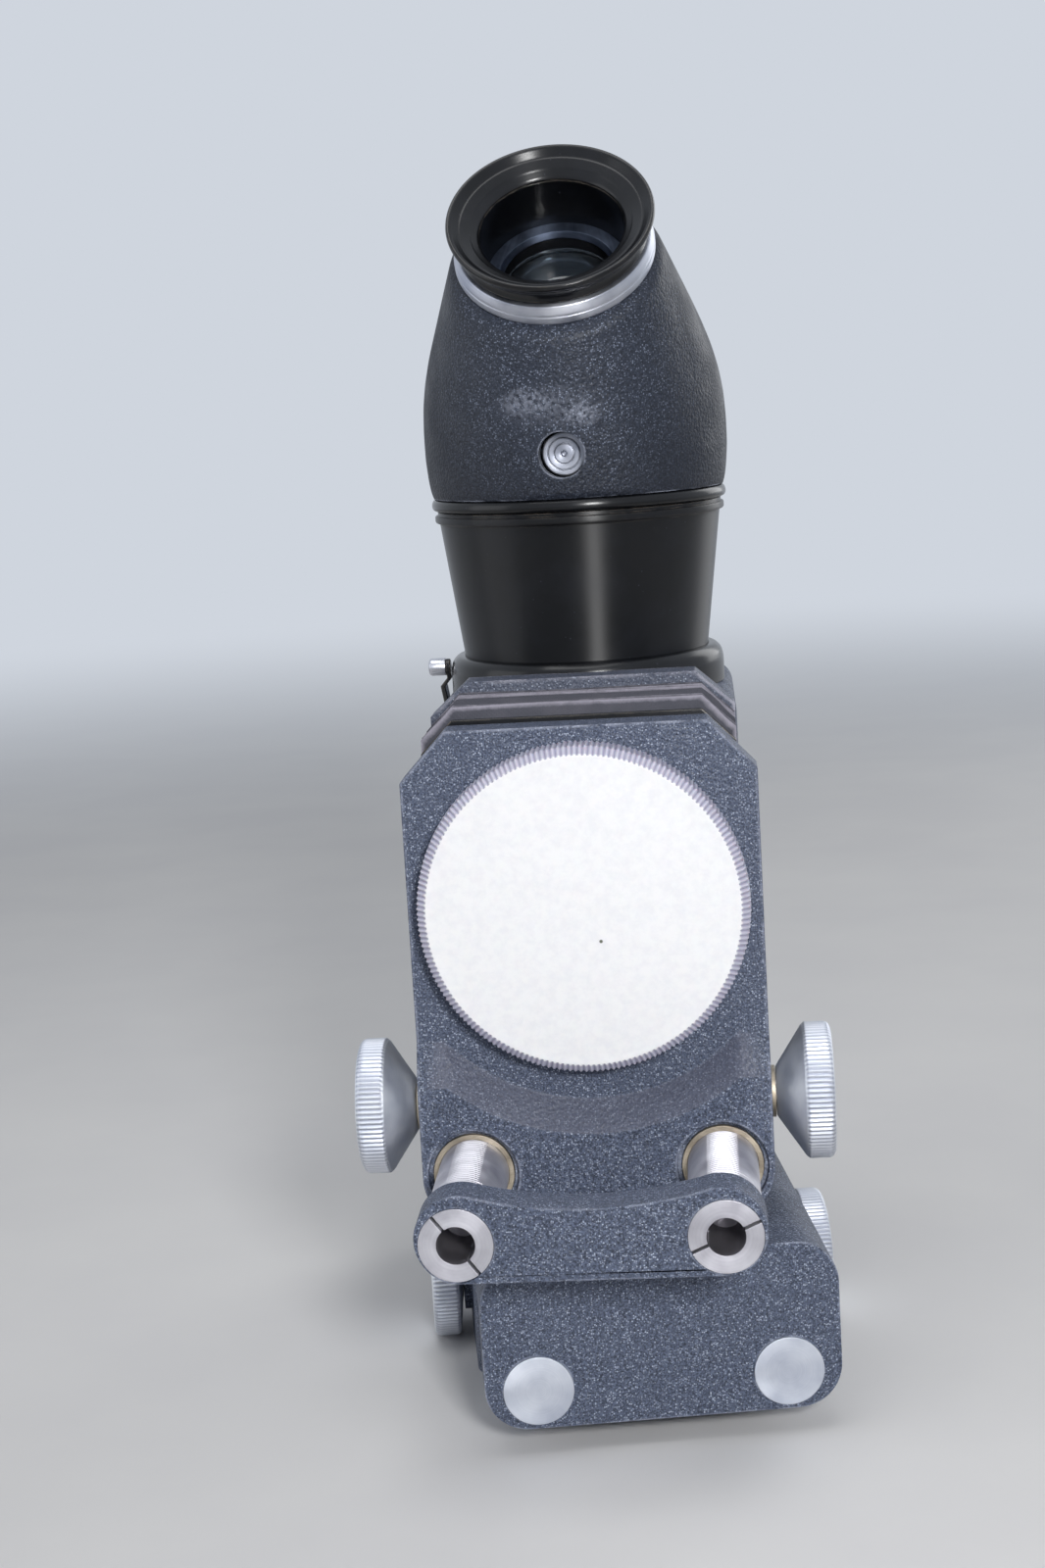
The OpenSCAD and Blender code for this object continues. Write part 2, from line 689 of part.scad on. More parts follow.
// ---- Reflex housing ----

module housing_form() intersection() {
    translate([0, box_front, box_low_z]) linear_extrude(box_up + box_down) round_rect(box_w, box_l, box_corner);
    slab_y(box_front, box_back) translate([0, box_low_z]) round_rect(box_w, box_up + box_down, box_corner);
}

// Front wall, sides, floor and top in one casting, open at the back
module reflex_housing() color(black_cast) difference() {
    inside_w = box_w - 2 * box_wall;
    housing_form();
    translate([-inside_w / 2, box_front + box_wall, box_low_z + box_wall])
        cube([inside_w, box_l, box_up + box_down - 2 * box_wall]);
    translate([-box_w, back_plate_front, box_low_z - 1]) cube([2 * box_w, box_l, box_up + box_down + 2]);
    translate([-window_w / 2, box_front - 1, axis_z - window_w / 2]) cube([window_w, box_wall + 2, window_w]);
    cylinder(d = screen_ledge_d, h = box_top_z + 1);
    translate([0, 0, box_top_z - screen_seat]) cylinder(d = screen_bore_d, h = box_wall);
    translate([0, mirror_y, mirror_z]) rod_x(pin_d + 2 * run_fit, -box_w, box_w);
}

// Plate that closes the housing and carries the camera ring
module housing_back() color(black_cast) difference() {
    housing_form();
    translate([-box_w, box_front - 1, box_low_z - 1])
        cube([2 * box_w, back_plate_front - box_front + 1, box_up + box_down + 2]);
    translate([0, 0, axis_z]) rod_y(camera_thread_d + 2, 0, box_back + 1);
}

module ring_screw_places() for (a = [45 : 90 : 315])
    translate([cos(a), 0, sin(a)] * (camera_ring_d + camera_thread_d) / 4 + [0, box_back, axis_z]) children();

module camera_ring() color(satin_metal) difference() {
    translate([0, 0, axis_z]) rod_y(camera_ring_d, box_back, box_back + camera_ring_t);
    translate([0, 0, axis_z]) rod_y(camera_thread_d, box_back - 1, box_back + camera_ring_t + 1);
    ring_screw_places() rod_y(ring_screw_d, camera_ring_t - ring_screw_t - 0.2, camera_ring_t + 1);
}

module camera_ring_screws() color(chrome_metal) ring_screw_places() difference() {
    rod_y(ring_screw_d - 2 * seat_fit, camera_ring_t - ring_screw_t - 0.2, camera_ring_t - 0.2);
    translate([-ring_screw_d, camera_ring_t - 0.6, -0.25]) cube([2 * ring_screw_d, 1, 0.5]);
}

// ---- Mirror ----

module at_mirror() translate([0, mirror_y, mirror_z]) rotate([45, 0, 0]) children();

module mirror_carrier() color(black_gloss) at_mirror() difference() {
    union() {
        rod_x(mirror_barrel_d, -mirror_w / 2, mirror_w / 2);
        translate([-mirror_w / 2, -mirror_l, -mirror_barrel_d / 2]) cube([mirror_w, mirror_l, carrier_t]);
    }
    rod_x(pin_d + 2 * seat_fit, -mirror_w, mirror_w);
}

module mirror_glass() color(glass_clear) at_mirror()
    translate([mirror_edge - mirror_w / 2, mirror_edge - mirror_l, carrier_t - mirror_barrel_d / 2])
        cube([mirror_w - 2 * mirror_edge, mirror_l - mirror_barrel_d / 2 - 2 * mirror_edge, mirror_t]);

module mirror_pin() color(chrome_metal) translate([0, mirror_y, mirror_z])
    rod_x(pin_d, -lever_out - lever_t, box_w / 2);

// Sheet lever outside the left wall that lifts the mirror, joggled inwards above the housing's top
module mirror_lever() color(black_gloss) translate([0, mirror_y, mirror_z]) difference() {
    reach = norm([lever_fore, lever_up]);
    joggle_z = box_top_z + 0.5 - mirror_z;
    intersection() {
        union() {
            rod_x(lever_hub_d, -lever_out - lever_t, lever_joggle - lever_out);
            translate([-lever_out - lever_t, 0, 0]) rotate([atan2(-lever_up, lever_fore), 0, 0])
                translate([0, -reach, -lever_w / 2]) cube([lever_t + lever_joggle, reach, lever_w]);
            translate([0, -lever_fore, lever_up]) rod_x(lever_w, -lever_out - lever_t, lever_joggle - lever_out);
        }
        slab_y(-2 * reach, reach) translate([-lever_out, 0]) polygon([
            [-lever_t, -lever_hub_d], [-lever_t, joggle_z],
            [lever_joggle - lever_t, joggle_z + lever_joggle_h], [lever_joggle - lever_t, reach],
            [lever_joggle, reach], [lever_joggle, joggle_z + lever_joggle_h],
            [0, joggle_z], [0, -lever_hub_d]]);
    }
    rod_x(pin_d + 2 * seat_fit, -lever_out - lever_t - 1, -lever_out + 1);
    translate([0, -lever_fore, lever_up])
        rod_x(rivet_d + 2 * seat_fit, -lever_out - lever_t - 1, lever_joggle - lever_out + 1);
}

// Button riveted through the lever's end
module lever_button() color(chrome_metal)
    translate([lever_joggle - lever_out, mirror_y - lever_fore, mirror_z + lever_up]) {
        rod_x(rivet_d, -lever_t, 0);
        rod_x(thumb_d, -lever_t - thumb_t, -lever_t);
    }

// ---- Viewing tube ----

module viewing_tube() color(black_gloss) translate([0, 0, box_top_z]) rotate_extrude($fn = 96) polygon([
    [tube_foot_d / 2 - tube_wall, 0],
    [tube_foot_d / 2, 0],
    [tube_foot_d / 2, foot_ring_t],
    [tube_top_d / 2, tube_h - tube_band_h],
    [tube_band_d / 2, tube_h - tube_band_h + band_bevel],
    [tube_band_d / 2, tube_h - flange_t],
    [tube_flange_d / 2, tube_h - flange_t],
    [tube_flange_d / 2, tube_h],
    [seat_d / 2, tube_h],
    [seat_d / 2, tube_h - seat_l],
    [seat_d / 2 - seat_lip, tube_h - seat_l],
    [tube_foot_d / 2 - tube_wall, foot_ring_t]]);

// Bevelled flange that screws the tube to the housing's top
module tube_foot_ring() color(black_gloss) translate([0, 0, box_top_z]) {
    bore = tube_foot_d / 2 + seat_fit;
    rotate_extrude($fn = 96) polygon([
        [bore, 0],
        [foot_ring_d / 2, 0],
        [foot_ring_d / 2, foot_ring_t - foot_bevel],
        [bore + 0.5, foot_ring_t],
        [bore, foot_ring_t]]);
}

module focusing_screen() color(glass_clear) translate([0, 0, box_top_z - screen_seat])
    cylinder(d = screen_bore_d - 2 * run_fit, h = screen_t);

module screen_ring() color(black_gloss) translate([0, 0, box_top_z - screen_seat + screen_t]) difference() {
    cylinder(d = tube_foot_d - 2 * tube_wall - 0.2, h = screen_ring_t);
    translate([0, 0, -1]) cylinder(d = screen_ledge_d, h = screen_ring_t + 2);
}

// Plano-convex dome of the given diameter and thickness
module lens_dome(d, t, edge) {
    bulge_r = (d * d / 4 + (t - edge) * (t - edge)) / (2 * (t - edge));
    rotate_extrude($fn = 96) intersection() {
        square([d / 2, t]);
        translate([0, t - bulge_r]) circle(bulge_r, $fn = 360);
    }
}

module condenser_lens() color(glass_clear)
    translate([0, 0, box_top_z - screen_seat + screen_t + screen_ring_t])
        lens_dome(tube_foot_d - 2 * tube_wall - 0.4, condenser_t, condenser_edge);

// ---- Front standard ----

// Lower block's outline in X and Z up to a given height, its lower corners round
module block_outline(top) {
    translate([-plate_w / 2, block_low_z + block_corner]) square([plate_w, top - block_low_z - block_corner]);
    translate([block_corner - plate_w / 2, block_low_z]) square([plate_w - 2 * block_corner, top - block_low_z]);
    for (side = [-1, 1]) translate([side * (plate_w / 2 - block_corner), block_low_z + block_corner])
        circle(block_corner);
}

module plate_outline() {
    top = axis_z + plate_top;
    polygon([
        [plate_w / 2, shelf_z - 1],
        [plate_w / 2, top - plate_cut_z],
        [plate_w / 2 - plate_cut_x, top],
        [plate_cut_x - plate_w / 2, top],
        [-plate_w / 2, top - plate_cut_z],
        [-plate_w / 2, shelf_z - 1]]);
}

module front_standard() color(black_cast) difference() {
    union() {
        slab_y(-plate_at, frame_front) plate_outline();
        slab_y(-plate_at, frame_front) block_outline(shelf_z);
        slab_y(-plate_at, block_back) block_outline(block_back_top);
        slab_y(block_front, -plate_at) block_outline(shelf_z);
    }
    // sloping shelf above the block and the lens clearance swept out of it
    slab_x(-plate_w, plate_w) polygon([
        [-plate_at, shelf_z], [block_front, shelf_front_z],
        [block_front - 1, shelf_front_z], [block_front - 1, shelf_z + 1], [-plate_at, shelf_z + 1]]);
    translate([0, -plate_at, axis_z]) rotate([90, 0, 0])
        cylinder(r1 = sweep_r, r2 = sweep_r_front + (sweep_r_front - sweep_r) / block_proud,
            h = block_proud + 1, $fn = 180);
    translate([0, 0, axis_z]) rod_y(lens_seat_d + 2 * seat_fit, -plate_at - 1, frame_front + 1);
    at_rods(bed_rod_gap, bed_z) {
        rod_y(guide_bush_d + 2 * seat_fit, block_front - 1, block_back + 1);
        rod_y(rod_recess_d, block_front - 1, block_front + rod_recess_t);
    }
    translate([0, shaft_y, shaft_z]) {
        rod_x(shaft_d + 1, -plate_w, plate_w);
        for (side = [-1, 1]) translate([side * (plate_w / 2), 0, 0])
            rod_x(shaft_bush_d + 2 * seat_fit, -shaft_bush_l, shaft_bush_l);
        for (side = [-1, 1]) translate([side * bed_rod_gap / 2, 0, 0])
            rod_x(2 * (pinion_r + pocket_gap + tooth_m), -pinion_w / 2 - pocket_gap, pinion_w / 2 + pocket_gap);
    }
}

module guide_bush(side) color(brass_metal) difference() {
    translate([side * bed_rod_gap / 2, 0, bed_z]) rod_y(guide_bush_d, block_front + guide_bush_in, block_back);
    translate([side * bed_rod_gap / 2, 0, bed_z]) rod_y(bed_rod_d + 2 * run_fit, block_front - 1, block_back + 1);
    translate([side * bed_rod_gap / 2, shaft_y, shaft_z])
        rod_x(2 * (pinion_r + pocket_gap + tooth_m), -pinion_w / 2 - pocket_gap, pinion_w / 2 + pocket_gap);
}
module guide_bush_left() guide_bush(-1);
module guide_bush_right() guide_bush(1);

module lens_ring() color(satin_metal) translate([0, 0, axis_z]) difference() {
    union() {
        rod_y(lens_flange_d, -plate_at - lens_flange_t, -plate_at);
        rod_y(lens_seat_d, -plate_at - 1, frame_front);
    }
    rod_y(lens_thread_d, -plate_at - lens_flange_t - 1, frame_front + 1);
}

module shaft_bushes() color(brass_metal) translate([0, shaft_y, shaft_z]) for (side = [0, 1])
    mirror([side, 0, 0]) difference() {
        union() {
            rod_x(shaft_bush_d, plate_w / 2 - shaft_bush_l, plate_w / 2);
            rod_x(bush_flange_d, plate_w / 2, plate_w / 2 + bush_flange_t);
        }
        rod_x(shaft_d + 2 * run_fit, 0, plate_w);
    }

module front_cap() color(cap_white) translate([0, -plate_at - face_gap, axis_z]) rotate([90, 0, 0]) difference() {
    union() {
        linear_extrude(cap_h - 1.2) ribbed(cap_d, cap_ribs, 0.35);
        translate([0, 0, cap_h - 1.2]) cylinder(d1 = cap_d - 1, d2 = cap_face_d, h = 1.2, $fn = 180);
    }
    translate([0, 0, -1]) cylinder(d = lens_flange_d + 2 * run_fit, h = cap_h - cap_t + 1, $fn = 180);
}

// ---- Focus drive ----

function inv_deg(a) = tan(a) * 180 / PI - a;

// Involute pinion with a tooth on the lower side
module pinion_outline() {
    base_r = pinion_r * cos(pressure);
    radii = [for (k = [0 : 3]) base_r + k * (pinion_r + tip_height - base_r) / 3];
    half = [for (r = radii) tooth_t / 2 / pinion_r * 180 / PI + inv_deg(pressure) - inv_deg(acos(base_r / r))];
    root_r = pinion_r - root_depth;
    polygon([for (i = [0 : pinion_teeth - 1]) let (a = i * 360 / pinion_teeth - 90) each concat(
        [[cos(a - half[0]), sin(a - half[0])] * root_r],
        [for (k = [0 : 3]) [cos(a - half[k]), sin(a - half[k])] * radii[k]],
        [for (k = [3 : -1 : 0]) [cos(a + half[k]), sin(a + half[k])] * radii[k]],
        [[cos(a + half[0]), sin(a + half[0])] * root_r])]);
}

module pinion(side) color(brass_metal) translate([side * bed_rod_gap / 2, shaft_y, shaft_z])
    slab_x(-pinion_w / 2, pinion_w / 2) difference() {
        pinion_outline();
        circle(d = shaft_d + 2 * seat_fit);
    }
module pinion_left() pinion(-1);
module pinion_right() pinion(1);

module drive_shaft() color(chrome_metal) translate([0, shaft_y, shaft_z])
    rod_x(shaft_d, knob_cap + 0.2 - knob_reach, knob_reach - knob_cap - 0.2);

module focus_knob(side) color(satin_metal) translate([0, shaft_y, shaft_z]) mirror([side < 0 ? 1 : 0, 0, 0])
    knob(knob_d, knob_reach, knob_neck, shaft_d + 2 * seat_fit);
module focus_knob_left() focus_knob(-1);
module focus_knob_right() focus_knob(1);

// ---- Prism head ----

// Smooth solid through level sections and the tilted neck, drawn in by inset
module head_form(inset) hull() {
    for (cut = [
        [0, 0, head_foot_d / 2],
        [head_wide_h, 0, head_d / 2],
        [head_shoulder_h, head_shoulder_fore, head_d / 2 - head_shoulder_in],
        [head_crown_h, head_crown_fore, head_d / 2 - head_crown_in]])
        translate([0, -cut[1], head_z + cut[0]]) cylinder(r = cut[2] - inset, h = head_slice, $fn = 72);
    translate([0, 0, bend_z]) rotate([90 - eye_tilt, 0, 0]) translate([0, 0, neck_s - neck_root - inset])
        cylinder(r = neck_d / 2 - inset, h = neck_root, $fn = 72);
}

module head_housing() color(black_cast) on_head() difference() {
    head_form(0);
    intersection() {
        head_form(head_wall);
        translate([-head_d, -head_d, head_z + spigot_l + 0.4]) cube(2 * head_d);
    }
    translate([0, 0, head_z - 1]) cylinder(d = spigot_d + 2 * seat_fit, h = spigot_l + 2);
    translate([0, 0, bend_z]) rotate([90 - eye_tilt, 0, 0]) translate([0, 0, neck_open_s])
        cylinder(d = neck_bore_d, h = neck_s);
    translate([0, 0, head_z + head_screw_h]) {
        rod_y(head_screw_bore_d, -head_d, head_screw_y);
        rod_y(screw_shank_d + 2 * seat_fit, -head_d, -head_d / 4);
    }
}

// Ring that turns in the seat at the tube's top
module head_spigot() color(brass_metal) on_head() translate([0, 0, tube_top_z - seat_l + 0.5]) difference() {
    cylinder(d = spigot_d, h = seat_l - 0.5 + face_gap + spigot_l);
    translate([0, 0, -1]) cylinder(d = spigot_d - 2 * spigot_wall, h = seat_l + spigot_l + 2);
}

module prism() color(glass_clear) on_head() translate([0, 0, bend_z]) slab_x(-prism_w / 2, prism_w / 2) polygon([
    [-prism_half, prism_rise + spigot_l - bend_h],
    [prism_half, prism_rise + spigot_l - bend_h],
    [prism_half, prism_back_up],
    [prism_peak_y, prism_peak_up],
    [-prism_half, -prism_front_down]]);

module eyepiece_collar() color(satin_metal) on_eye_axis() translate([0, 0, neck_s]) rotate_extrude($fn = 96)
    polygon([
        [neck_bore_d / 2, 0],
        [collar_d / 2 - 0.3, 0],
        [collar_d / 2, 0.4],
        [collar_d / 2, collar_t - 1.5],
        [collar_d / 2 - 0.7, collar_t],
        [neck_bore_d / 2, collar_t]]);

module head_screw() color(chrome_metal) on_head() translate([0, 0, head_z + head_screw_h]) difference() {
    union() {
        rod_y(head_screw_bore_d - 2 * run_fit, head_screw_y - screw_head_t, head_screw_y);
        rod_y(screw_shank_d, head_screw_y - 1, head_screw_y + 4);
    }
    rod_y(screw_dimple_d, head_screw_y - screw_head_t - 1, head_screw_y - screw_head_t + 0.6);
}

// ---- Eyepiece ----

// Sliding cell: the eye lens sits in the narrow bore, the retainer at the bottom of the wide one
module lens_cell() color(black_gloss) on_eye_axis() difference() {
    translate([0, 0, cell_back_s]) cylinder(d = cell_d, h = cell_front_s - cell_back_s);
    translate([0, 0, cell_back_s - 1]) cylinder(d = eye_lens_d + 2 * seat_fit, h = cell_front_s);
    translate([0, 0, lens_front_s]) cylinder(d = cell_bore_d, h = cell_front_s);
}

module lens_retainer() color(satin_metal) on_eye_axis() translate([0, 0, lens_front_s]) difference() {
    cylinder(d = cell_bore_d - 2 * seat_fit, h = retainer_t);
    translate([0, 0, -1]) cylinder(d1 = eye_lens_d - 1.6, d2 = eye_lens_d + 2, h = retainer_t + 2);
}

module eye_lens() color(glass_clear) on_eye_axis() translate([0, 0, lens_front_s - lens_gap - eye_lens_t])
    lens_dome(eye_lens_d, eye_lens_t, eye_lens_edge);

module field_lens() color(glass_clear) on_eye_axis() translate([0, 0, cell_back_s + lens_gap + field_lens_t])
    mirror([0, 0, 1]) lens_dome(eye_lens_d, field_lens_t, field_lens_edge);

// Waisted cup that flares to a rolled rim
module eyecup() color(black_gloss) on_eye_axis() rotate_extrude($fn = 96) polygon([
    [cell_d / 2 + run_fit, cup_back_s],
    [collar_d / 2 - cup_neck_in, cup_back_s],
    [collar_d / 2 - cup_neck_in - 0.3, cup_back_s + cup_waist],
    [collar_d / 2 - cup_neck_in + 0.1, cup_back_s + 2 * cup_waist],
    [cup_d / 2 - 0.2, cup_s - cup_lip],
    [cup_d / 2, cup_s - cup_lip + 0.6],
    [cup_d / 2 - 0.2, cup_s - 0.2],
    [cup_d / 2 - 0.6, cup_s],
    [cup_d / 2 - 1.1, cup_s - 0.2],
    [cup_d / 2 - 2.3, cup_s - cup_lip],
    [cell_bore_d / 2 + 0.3, cell_front_s + 0.8],
    [cell_bore_d / 2, cell_front_s + 0.5],
    [cell_bore_d / 2, cell_front_s + 0.1],
    [cell_d / 2 + run_fit, cell_front_s + 0.1]]);

carriage();
carriage_bushes();
tripod_bush();
clamp_screw_left();
clamp_knob_left();
clamp_screw_right();
clamp_knob_right();
rail_casting();
rail_rod_left();
rail_rod_right();
swing_screw();
rear_standard();
foot_bush();
bed_rod_left();
bed_rod_right();
front_bridge();
bellows();
reflex_housing();
housing_back();
camera_ring();
camera_ring_screws();
viewing_tube();
tube_foot_ring();
focusing_screen();
screen_ring();
condenser_lens();
front_standard();
guide_bush_left();
guide_bush_right();
lens_ring();
shaft_bushes();
bellows_frame();
front_cap();
drive_shaft();
pinion_left();
pinion_right();
focus_knob_left();
focus_knob_right();
mirror_carrier();
mirror_glass();
mirror_pin();
mirror_lever();
lever_button();
head_housing();
head_spigot();
prism();
eyepiece_collar();
head_screw();
lens_cell();
lens_retainer();
eye_lens();
field_lens();
eyecup();
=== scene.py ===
# Close-up bellows with reflex housing and turning prism head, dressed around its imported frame.
# Sizes in the script are millimetres; Blender's own are metres.
import json
import math
import random

import bmesh
import bpy
from mathutils import Matrix, Vector
from mathutils.bvhtree import BVHTree


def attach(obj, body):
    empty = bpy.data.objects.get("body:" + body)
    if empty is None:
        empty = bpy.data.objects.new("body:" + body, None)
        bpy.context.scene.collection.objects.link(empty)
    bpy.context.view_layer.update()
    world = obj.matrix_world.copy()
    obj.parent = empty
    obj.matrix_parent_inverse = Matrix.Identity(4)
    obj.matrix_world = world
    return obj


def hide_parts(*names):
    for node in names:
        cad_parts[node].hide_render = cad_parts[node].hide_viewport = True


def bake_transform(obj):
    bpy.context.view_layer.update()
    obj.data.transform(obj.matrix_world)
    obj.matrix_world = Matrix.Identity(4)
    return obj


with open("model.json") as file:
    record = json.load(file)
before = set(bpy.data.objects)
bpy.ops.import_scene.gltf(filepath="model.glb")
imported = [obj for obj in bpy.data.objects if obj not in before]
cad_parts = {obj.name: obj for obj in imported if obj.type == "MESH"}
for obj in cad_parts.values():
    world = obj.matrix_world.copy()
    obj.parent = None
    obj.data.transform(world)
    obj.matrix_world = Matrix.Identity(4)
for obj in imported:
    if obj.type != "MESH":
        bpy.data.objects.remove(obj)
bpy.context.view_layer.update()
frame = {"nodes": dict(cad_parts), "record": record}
print("frame loaded:", len(frame["nodes"]), "nodes")


# general helpers

def linearColour(hexCode, alpha=1.0):
    parts = [int(hexCode[i:i + 2], 16) / 255 for i in (1, 3, 5)]
    return tuple(c / 12.92 if c <= 0.04045 else ((c + 0.055) / 1.055) ** 2.4 for c in parts) + (alpha,)


def addNode(tree, kind, settings=None, links=None):
    node = tree.nodes.new(kind)
    for key, value in (settings or {}).items():
        if key == "stops":  # colour ramp: (place, hex colour or grey level)
            band = node.color_ramp
            band.elements.remove(band.elements[1])
            for i, (at, colour) in enumerate(value):
                element = band.elements[0] if i == 0 else band.elements.new(at)
                element.position = at
                element.color = linearColour(colour) if isinstance(colour, str) else (colour, colour, colour, 1)
        elif isinstance(key, int) or key in node.inputs:
            node.inputs[key].default_value = linearColour(value) if isinstance(value, str) else value
        else:
            setattr(node, key, value)
    for key, source in (links or {}).items():
        tree.links.new(source, node.inputs[key])
    return node


def newMaterial(name, settings):
    material = bpy.data.materials.new(name)
    material.use_nodes = True
    tree = material.node_tree
    shader = tree.nodes["Principled BSDF"]
    for key, value in settings.items():
        shader.inputs[key].default_value = linearColour(value) if isinstance(value, str) else value
    place = addNode(tree, "ShaderNodeTexCoord").outputs["Object"]
    return material, tree, shader, place


def edgeWear(tree, place, width, patch, amount=1.0):
    # grows towards 1 within width of an edge, broken into patches
    soft = addNode(tree, "ShaderNodeBevel", {"samples": 6, "Radius": width * 0.001})
    flat = addNode(tree, "ShaderNodeNewGeometry")
    agree = addNode(tree, "ShaderNodeVectorMath", {"operation": "DOT_PRODUCT"},
                    {0: soft.outputs["Normal"], 1: flat.outputs["Normal"]})
    edge = addNode(tree, "ShaderNodeMapRange", {"From Min": 0.998, "From Max": 0.92, "To Min": 0.0, "To Max": amount},
                   {"Value": agree.outputs["Value"]})
    rubbed = addNode(tree, "ShaderNodeTexNoise", {"Scale": 1000 / patch, "Detail": 3}, {"Vector": place})
    some = addNode(tree, "ShaderNodeMapRange", {"From Min": 0.40, "From Max": 0.58}, {"Value": rubbed.outputs["Fac"]})
    return addNode(tree, "ShaderNodeMath", {"operation": "MULTIPLY"},
                   {0: edge.outputs["Result"], 1: some.outputs["Result"]}).outputs["Value"]


def awayFrom(tree, place, centre, reach):
    # distance from centre, measured in reaches along each axis, both in millimetres
    spot = addNode(tree, "ShaderNodeMapping", {"vector_type": "TEXTURE", "Location": [c * 0.001 for c in centre],
                                               "Scale": [r * 0.001 for r in reach]}, {"Vector": place})
    return addNode(tree, "ShaderNodeVectorMath", {"operation": "LENGTH"}, {0: spot.outputs[0]}).outputs["Value"]


def seenDirectly(tree):
    # 1 for what the camera, a reflection or a clear piece shows, 0 for the light that reaches a surface
    path = addNode(tree, "ShaderNodeLightPath")
    seen = path.outputs["Is Camera Ray"]
    for ray in ("Is Glossy Ray", "Is Transmission Ray"):
        seen = addNode(tree, "ShaderNodeMath", {"operation": "MAXIMUM"}, {0: seen, 1: path.outputs[ray]}).outputs[0]
    return seen


def latheLines(tree, place, spacing, centre=(0, 0, 0), turn=(0, 0, 0)):
    # irregular rings and lines about an axis, as a lathe tool leaves; the axis is the local Z unless turned
    local = addNode(tree, "ShaderNodeMapping", {"vector_type": "TEXTURE", "Location": [c * 0.001 for c in centre],
                                                "Rotation": [math.radians(t) for t in turn]}, {"Vector": place})
    across = addNode(tree, "ShaderNodeVectorMath", {"operation": "MULTIPLY", 1: (1, 1, 0)}, {0: local.outputs[0]})
    radius = addNode(tree, "ShaderNodeVectorMath", {"operation": "LENGTH"}, {0: across.outputs[0]})
    height = addNode(tree, "ShaderNodeSeparateXYZ", {}, {0: local.outputs[0]})
    both = addNode(tree, "ShaderNodeMath", {"operation": "ADD"}, {0: radius.outputs["Value"], 1: height.outputs["Z"]})
    spot = addNode(tree, "ShaderNodeCombineXYZ", {}, {"X": both.outputs[0]})
    lines = addNode(tree, "ShaderNodeTexNoise", {"Scale": 1000 / spacing, "Detail": 2}, {"Vector": spot.outputs[0]})
    return lines.outputs["Fac"], radius.outputs["Value"]


# materials

# glint is the colour of the pale pin-points painted on for the light the enamel's pimples catch
enamelSettings = {"deep": "#242a39", "pale": "#5f6980", "glint": "#ccd6ea", "worn": "#a9afc0", "grain": 0.6,
                  "glintSize": 0.32, "glintShare": 0.4, "dust": 7.0, "edge": 0.6, "patch": 4.0, "wear": 0.7}
smoothEnamelSettings = dict(enamelSettings, deep="#161a24", pale="#353c4b", glint="#a5b0c8", glintShare=0.36)
wornEnamelSettings = dict(enamelSettings, deep="#3a3e4c", pale="#636a7c", worn="#a9a9b6", edge=1.3, patch=9.0, wear=1.0,
                          glintShare=0.2)
# slopeLight is the paler colour painted on faces that face up and forward, for the light falling on them
slopeLitEnamelSettings = dict(enamelSettings, slopeLight="#5a5c6b", slopeLightShare=0.55, edge=1.0)


